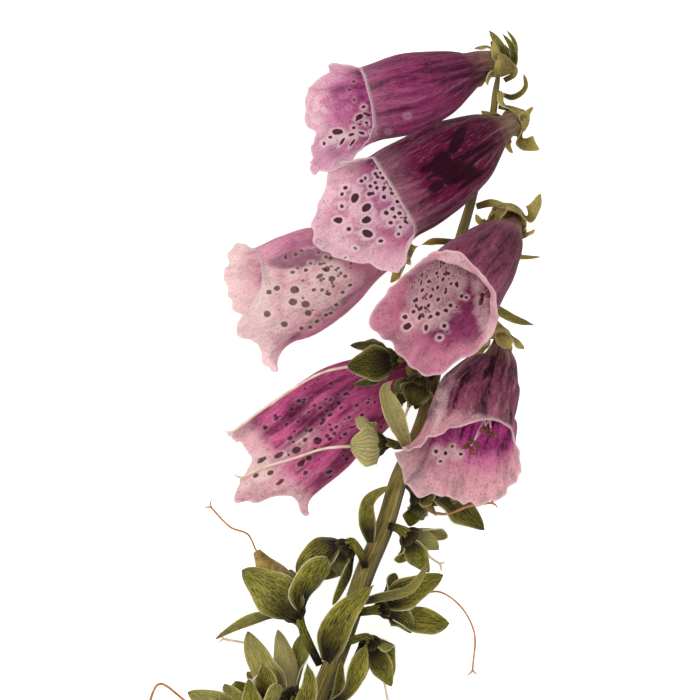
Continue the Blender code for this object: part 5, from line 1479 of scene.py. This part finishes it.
green_hair = plain_skin("green down", (214, 206, 176), (240, 236, 218), 0.4)
capsule_skin = plain_skin("capsule skin", (92, 78, 32), (168, 140, 70))
ovary_skin = plain_skin("ovary skin", (120, 120, 70), (150, 146, 96))
style_skin = plain_skin("style skin", (226, 198, 170), (250, 236, 220), 0.3)
old_style_skin = plain_skin("dried style skin", (176, 108, 62), (214, 158, 100), 0.2)
anther_skin = plain_skin("anther skin", (56, 18, 18), (130, 76, 50), 0.0, 1500.0)
filament_skin = plain_skin("filament skin", (226, 186, 196), (246, 226, 226), 0.3)

FLOWER_USUAL = {"cup": (3.2, 2.6), "cup_tone": 0.35, "stalk_tone": 0.1, "half_width": 1.9, "length": 8.0,
                "lean": 58.0, "bulge": 1.1, "laid": 0.5, "tone": 0.0}
# the fruits' cups and stalks are toned dark: painted shade at the thick heart of each calyx
FRUIT_USUAL = {"cup": (2.8, 2.2), "cup_tone": -1.0, "stalk_tone": -0.4, "half_width": 2.6, "length": 10.5,
               "lean": 38.0, "bulge": 0.5, "laid": 0.85}
DRIED_STYLES = (4, 7, 8, 11)

stem_body([stem_skin, green_hair])
for number in BELLS:
    bell(number, [petals[number], petal_hair])
    spec = {"aim": BELLS[number]["stations"][2][:3], **FLOWER_USUAL, **FLOWER_CALYXES[number]}
    make_piece(f"calyx_leaves_{number}", calyx_parts(spec, number), [cup_leaf, green_hair],
               f"calyx_{number}")
    stamen_set(number, [anther_skin, filament_skin])
    pistil_body(number, [ovary_skin, style_skin])
for number, spec in FRUITS.items():
    spec.setdefault("aim", spec["style"][0])
    make_piece(f"fruit_leaves_{number}", calyx_parts({**FRUIT_USUAL, **spec}, 20 + number),
               [sepal_leaf, green_hair], f"fruit_calyx_{number}")
    fruit_body(number, [capsule_skin, old_style_skin if number in DRIED_STYLES else style_skin])
for number, spec in BRACTS.items():
    make_piece(f"bract_leaf_{number}", long_leaf(spec, 300 + number), [bract_skin, green_hair],
               f"bract_{number}")
bud_body([bract_skin, green_hair])


# ---------------------------------------------------------------- table, light and camera

TABLE_HALF = 3.0
TABLE_HEIGHT = -0.0004
TABLE_GLOW = 0.85
LAMP_SIZE = 0.5
SENSOR = 36.0
VIEW_ANGLE = 13.69
CAMERA_HEIGHT = 0.671


def table_top():
    """A square pale table that glows a little, so that shadows on it stay light."""
    mesh = bpy.data.meshes.new("table top")
    corners = [(x * TABLE_HALF, y * TABLE_HALF, TABLE_HEIGHT)
               for x, y in ((-1, -1), (1, -1), (1, 1), (-1, 1))]
    mesh.from_pydata(corners, [], [(0, 1, 2, 3)])
    material = bpy.data.materials.new("pale table")
    material.use_nodes = True
    feed(material.node_tree.nodes["Principled BSDF"],
         {"Base Color": (0.6, 0.6, 0.59, 1.0), "Roughness": 0.9, "Specular IOR Level": 0.0,
          "Emission Color": (1.0, 1.0, 0.985, 1.0), "Emission Strength": TABLE_GLOW})
    mesh.materials.append(material)
    top = bpy.data.objects.new("table top", mesh)
    bpy.context.collection.objects.link(top)


def soft_light(name, place, power):
    """A square lamp that looks at the origin."""
    light = bpy.data.lights.new(name, "AREA")
    light.shape = "SQUARE"
    light.size = LAMP_SIZE
    light.energy = power
    lamp = bpy.data.objects.new(name, light)
    lamp.location = place
    lamp.rotation_mode = "QUATERNION"
    lamp.rotation_quaternion = (-Vector(place)).to_track_quat("-Z", "Y")
    bpy.context.collection.objects.link(lamp)


table_top()
soft_light("window", (-0.6, -0.1, 0.8), 4.5)
soft_light("fill", (0.45, 0.45, 0.8), 3.0)
world = bpy.data.worlds.new("pale room")
world.use_nodes = True
feed(world.node_tree.nodes["Background"], {"Color": (1.0, 0.995, 0.985, 1.0), "Strength": 0.6})
bpy.context.scene.world = world

camera_data = bpy.data.cameras.new("camera")
camera_data.sensor_width = SENSOR
camera_data.lens = SENSOR / 2 / math.tan(math.radians(VIEW_ANGLE / 2))
camera_data.clip_end = 10.0
camera = bpy.data.objects.new("camera", camera_data)
camera.location = (-PLAN_MIDDLE[0] * MM, -PLAN_MIDDLE[1] * MM, CAMERA_HEIGHT)
bpy.context.collection.objects.link(camera)
bpy.context.scene.camera = camera
bpy.context.scene.view_settings.view_transform = "Standard"
bpy.context.scene.view_settings.look = "None"
